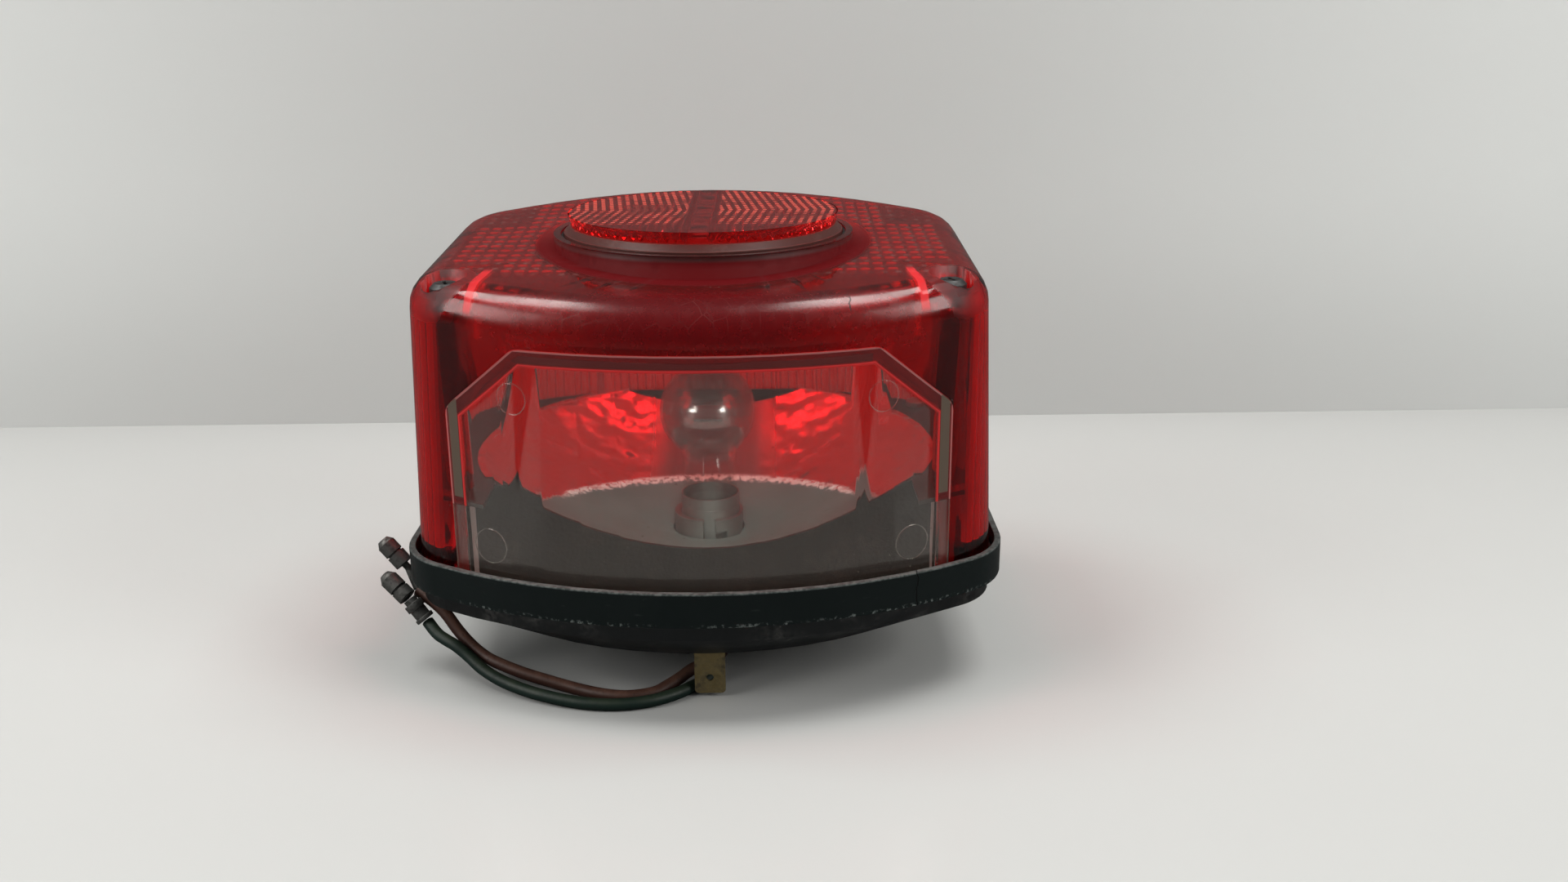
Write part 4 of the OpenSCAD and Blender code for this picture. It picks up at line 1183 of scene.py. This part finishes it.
@dataclass
class Housing:
    """Everything of the lamp that is rigid and not red."""

    press: float = 2.0 * MM
    zinc: Metal = Metal("dull_zinc", (0.1, 0.1, 0.1), (0.02, 0.018, 0.016), 0.6, 0.5, 0.6 * MM)
    steel: Metal = Metal("plain_steel", (0.42, 0.41, 0.4), (0.16, 0.12, 0.08), 0.4, 0.4)
    rubber: Dark = Dark("soft_rubber", (0.012, 0.012, 0.012), dusty=0.25, roughness=0.6)
    nickel: Metal = Metal("bulb_nickel", (0.26, 0.27, 0.255), (0.12, 0.13, 0.12), 0.3, 0.5)

    def pieces(self) -> list[Carried]:
        """The pieces, outside first.

        Returns:
            One row for each.
        """
        zinc, steel, rubber, nickel = self.zinc, self.steel, self.rubber, self.nickel
        pan = Dark("pan_paint", (0.016, 0.018, 0.019), (0.17, 0.165, 0.155), 0.35, 0.4)
        plate = Dark("frame_grey", (0.018, 0.015, 0.014), (0.14, 0.11, 0.095), 0.3, 0.5, 0.9 * MM, 0.00012)
        worn = Metal("old_contact", (0.6, 0.5, 0.32), (0.1, 0.07, 0.04), 0.5, 0.4)
        pale = Metal("pillar_zinc", (0.4, 0.37, 0.36), stained=0.15, roughness=0.5, metallic=0.3)
        tab = Metal("tab_yellow_zinc", (0.52, 0.41, 0.2), (0.03, 0.024, 0.016), 0.9, 0.42, 1.3 * MM)
        board = Dark("brown_board", (0.16, 0.08, 0.035), (0.05, 0.03, 0.02), 0.4, 0.55)
        disc = Dark("bulb_base_glass", (0.01, 0.01, 0.012), dusty=0.1, roughness=0.15)
        solder = Metal("pad_solder", (0.6, 0.6, 0.58), stained=0.2)
        stem = ThinGlass("stem_glass", (1.0, 1.0, 1.0), 0.0, 0.03, 0.0)
        filament = Metal("filament_wire", (0.35, 0.34, 0.33), stained=0.1, roughness=0.4)
        sleeve = Dark("lead_sleeve", (0.1, 0.04, 0.02), dusty=0.1, roughness=0.5)
        rows = (
            ("base_rim", "rim_band", "base", "rim_black", RimBand("rim_plastic"), 0.35),
            ("base_pan", "back_pan", "base", "pan_dark", pan, 0.0, 24),
            ("lens_gasket", "foot_seal", "base", "soft_black", rubber),
            ("mount_pad", "back_pad", "base", "soft_black", rubber, 0.2),
            ("silver_bowl", "bowl", "base", "bowl_silver", BowlSilver("bowl_silver"), 0.0, 25),
            ("bowl_frame", "frame_plate", "base", "frame_dark", plate, 0.15),
            ("earth_tab", "yellow_tab", "base", "tab_yellow", tab, 0.12),
            ("tab_rivet", "yellow_rivet", "base", "tab_yellow", worn, 0.2),
            ("screw_pillars", "front_pillars", "base", "plain_steel", pale, 0.2),
            ("rear_pillars", "back_pillars", "base", "plain_steel", steel, 0.2),
            ("frame_screws", "frame_screw_pair", "base", "plain_steel", steel, 0.2),
            ("mounting_studs", "stud_trio", "base", "plain_steel", steel, 0.3),
            ("socket_shell", "holder_shell", "base", "plain_steel", nickel, 0.1),
            ("socket_rivets", "holder_rivets", "base", "plain_steel", steel, 0.2),
            ("contact_spring", "holder_spring", "base", "plain_steel", steel),
            ("lead_bush", "wire_bush", "base", "soft_black", rubber, 0.3),
            ("contact_plate", "holder_board", "contact_carrier", "brown_board", board, 0.2),
            ("socket_contacts", "holder_contacts", "contact_carrier", "bulb_brass", worn, 0.2),
            ("lens_screw_left", "pan_screw_left", "screw_left", "zinc_screw", zinc, 0.12),
            ("lens_screw_right", "pan_screw_right", "screw_right", "zinc_screw", zinc, 0.12),
            ("screw_washer_left", "flat_washer_left", "washer_left", "zinc_screw", zinc, 0.1),
            ("screw_washer_right", "flat_washer_right", "washer_right", "zinc_screw", zinc, 0.1),
            ("bulb_glass", "bulb_globe", "bulb", "bulb_glass", ThinGlass("globe_glass")),
            ("bulb_cap", "bulb_collar", "bulb", "bulb_brass", nickel, 0.1),
            ("bulb_pins", "bulb_bayonet_pins", "bulb", "bulb_brass", nickel, 0.2),
            ("bulb_insulator", "bulb_base_disc", "bulb", "bulb_base", disc, 0.2),
            ("bulb_contacts", "bulb_solder_pads", "bulb", "solder", solder),
            ("bulb_stem", "bulb_glass_stem", "bulb", "bulb_glass", stem),
            ("bulb_filaments", "bulb_filament_pair", "bulb", "tungsten", filament),
            ("socket_leads", "holder_leads", "base", "wire_brown", sleeve),
        )
        return [Carried(*row) for row in rows]

    def build(self) -> None:
        """Makes every piece, and gives the spring and the inner leads meshes of their own."""
        for piece in self.pieces():
            piece.build()
        for node, name in (("contact_spring", "holder_spring"), ("socket_leads", "holder_leads")):
            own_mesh(bpy.data.objects[name])


# Studio


@dataclass(frozen=True)
class Lamp:
    """A soft lamp that points at the tail light; one that names pieces lights only these."""

    spot: Point
    size: Pair
    power: float
    colour: Colour = (1.0, 0.98, 0.95)
    reached: tuple[str, ...] = ()

    def build(self) -> None:
        """Places the lamp."""
        bpy.ops.object.light_add(type="AREA", location=self.spot)
        lamp = bpy.context.object
        lamp.data.shape = "RECTANGLE"
        lamp.data.size, lamp.data.size_y = self.size
        lamp.data.energy = self.power
        lamp.data.color = self.colour
        lamp.rotation_mode = "QUATERNION"
        lamp.rotation_quaternion = (Vector((0, 0, 0.05)) - Vector(self.spot)).to_track_quat("-Z", "Y")
        if self.reached:
            inside = bpy.data.collections.new("reached_inside")
            for name in self.reached:
                inside.objects.link(bpy.data.objects[name])
            lamp.light_linking.receiver_collection = inside


@dataclass
class Surroundings:
    """Pale table and wall, two soft top lamps, two side lamps and three small lamps for the globe and the bowl."""

    wall_lean: float = math.atan2(7.9, 620.9)
    lamps: tuple[Lamp, ...] = (
        Lamp((-0.5, 0.03, 1.0), (0.42, 0.42), 4.4),
        Lamp((0.33, 0.0, 1.0), (0.42, 0.42), 4.4),
        Lamp((-0.92, -0.42, 0.62), (0.5, 0.6), 4.8),
        Lamp((1.0, -0.48, 0.66), (0.5, 0.6), 5.4),
        Lamp((-0.6, -0.8, 0.27), (0.14, 0.14), 5.0, (1, 1, 1), ("bulb_globe",)),
        Lamp((0.6, -0.8, 0.27), (0.14, 0.14), 5.0, (1, 1, 1), ("bulb_globe",)),
        Lamp((0.05, -0.9, 0.55), (0.5, 0.5), 9.0, (1, 1, 1), ("bowl", "bulb_collar", "holder_shell")),
    )

    def board(self, name: str, centre: Point, size: Pair, turn: Point) -> Piece:
        """A flat sheet with a finer grid, for table or wall.

        Args:
            name: its name.
            centre: its middle, in metres.
            size: width and depth, in metres.
            turn: rotation, in radians.

        Returns:
            The sheet.
        """
        bpy.ops.mesh.primitive_grid_add(x_subdivisions=8, y_subdivisions=8, size=1, location=centre, rotation=turn)
        made = bpy.context.object
        made.scale = (*size, 1)
        return settle(made, name)

    def sky(self) -> World:
        """A dim room that is lighter overhead.

        Returns:
            The world.
        """
        r = Recipe("soft_room", "worlds")
        up = r.axes(r.node("ShaderNodeTexCoord", {}, {}, "Generated"))[2]
        light = {"Color": (0.93, 0.96, 1.0), "Strength": 0.05 + 0.17 * up.fade(0.5, 0.95)}
        return r.finish(r.node("ShaderNodeBackground", {}, light))

    def build(self) -> None:
        """Makes the table, the wall, the lights and the colour settings."""
        table = self.board("table_top", (0, -0.4, 0), (9, 9), (0, 0, 0))
        paint(table, Studio("table_white").make())
        wall = self.board("wall_white", (0.026, 0.1785, 0.25), (4, 0.5), (math.pi / 2, 0, self.wall_lean))
        paint(wall, Studio("wall_paint", (0.86, 0.88, 0.87), 0.3, 0.28, True).make())
        for lamp in self.lamps:
            lamp.build()
        scene = bpy.context.scene
        scene.world = self.sky()
        scene.view_settings.view_transform = "Standard"
        scene.view_settings.look = "None"
        scene.cycles.use_denoising = True
        scene.cycles.sample_clamp_indirect = 6.0
        bounces = {"max": 20, "transmission": 16, "transparent_max": 24, "glossy": 6, "diffuse": 4}
        for kind, count in bounces.items():
            setattr(scene.cycles, kind + "_bounces", count)


def main() -> None:
    """Builds the camera, the wires, the lamp and the studio in order."""
    logging.basicConfig(level=logging.INFO, format="%(message)s")
    for part in (Viewpoint(), Wires(), Housing(), Lens(), Reflector(), Surroundings()):
        part.build()


if __name__ == "__main__":
    main()
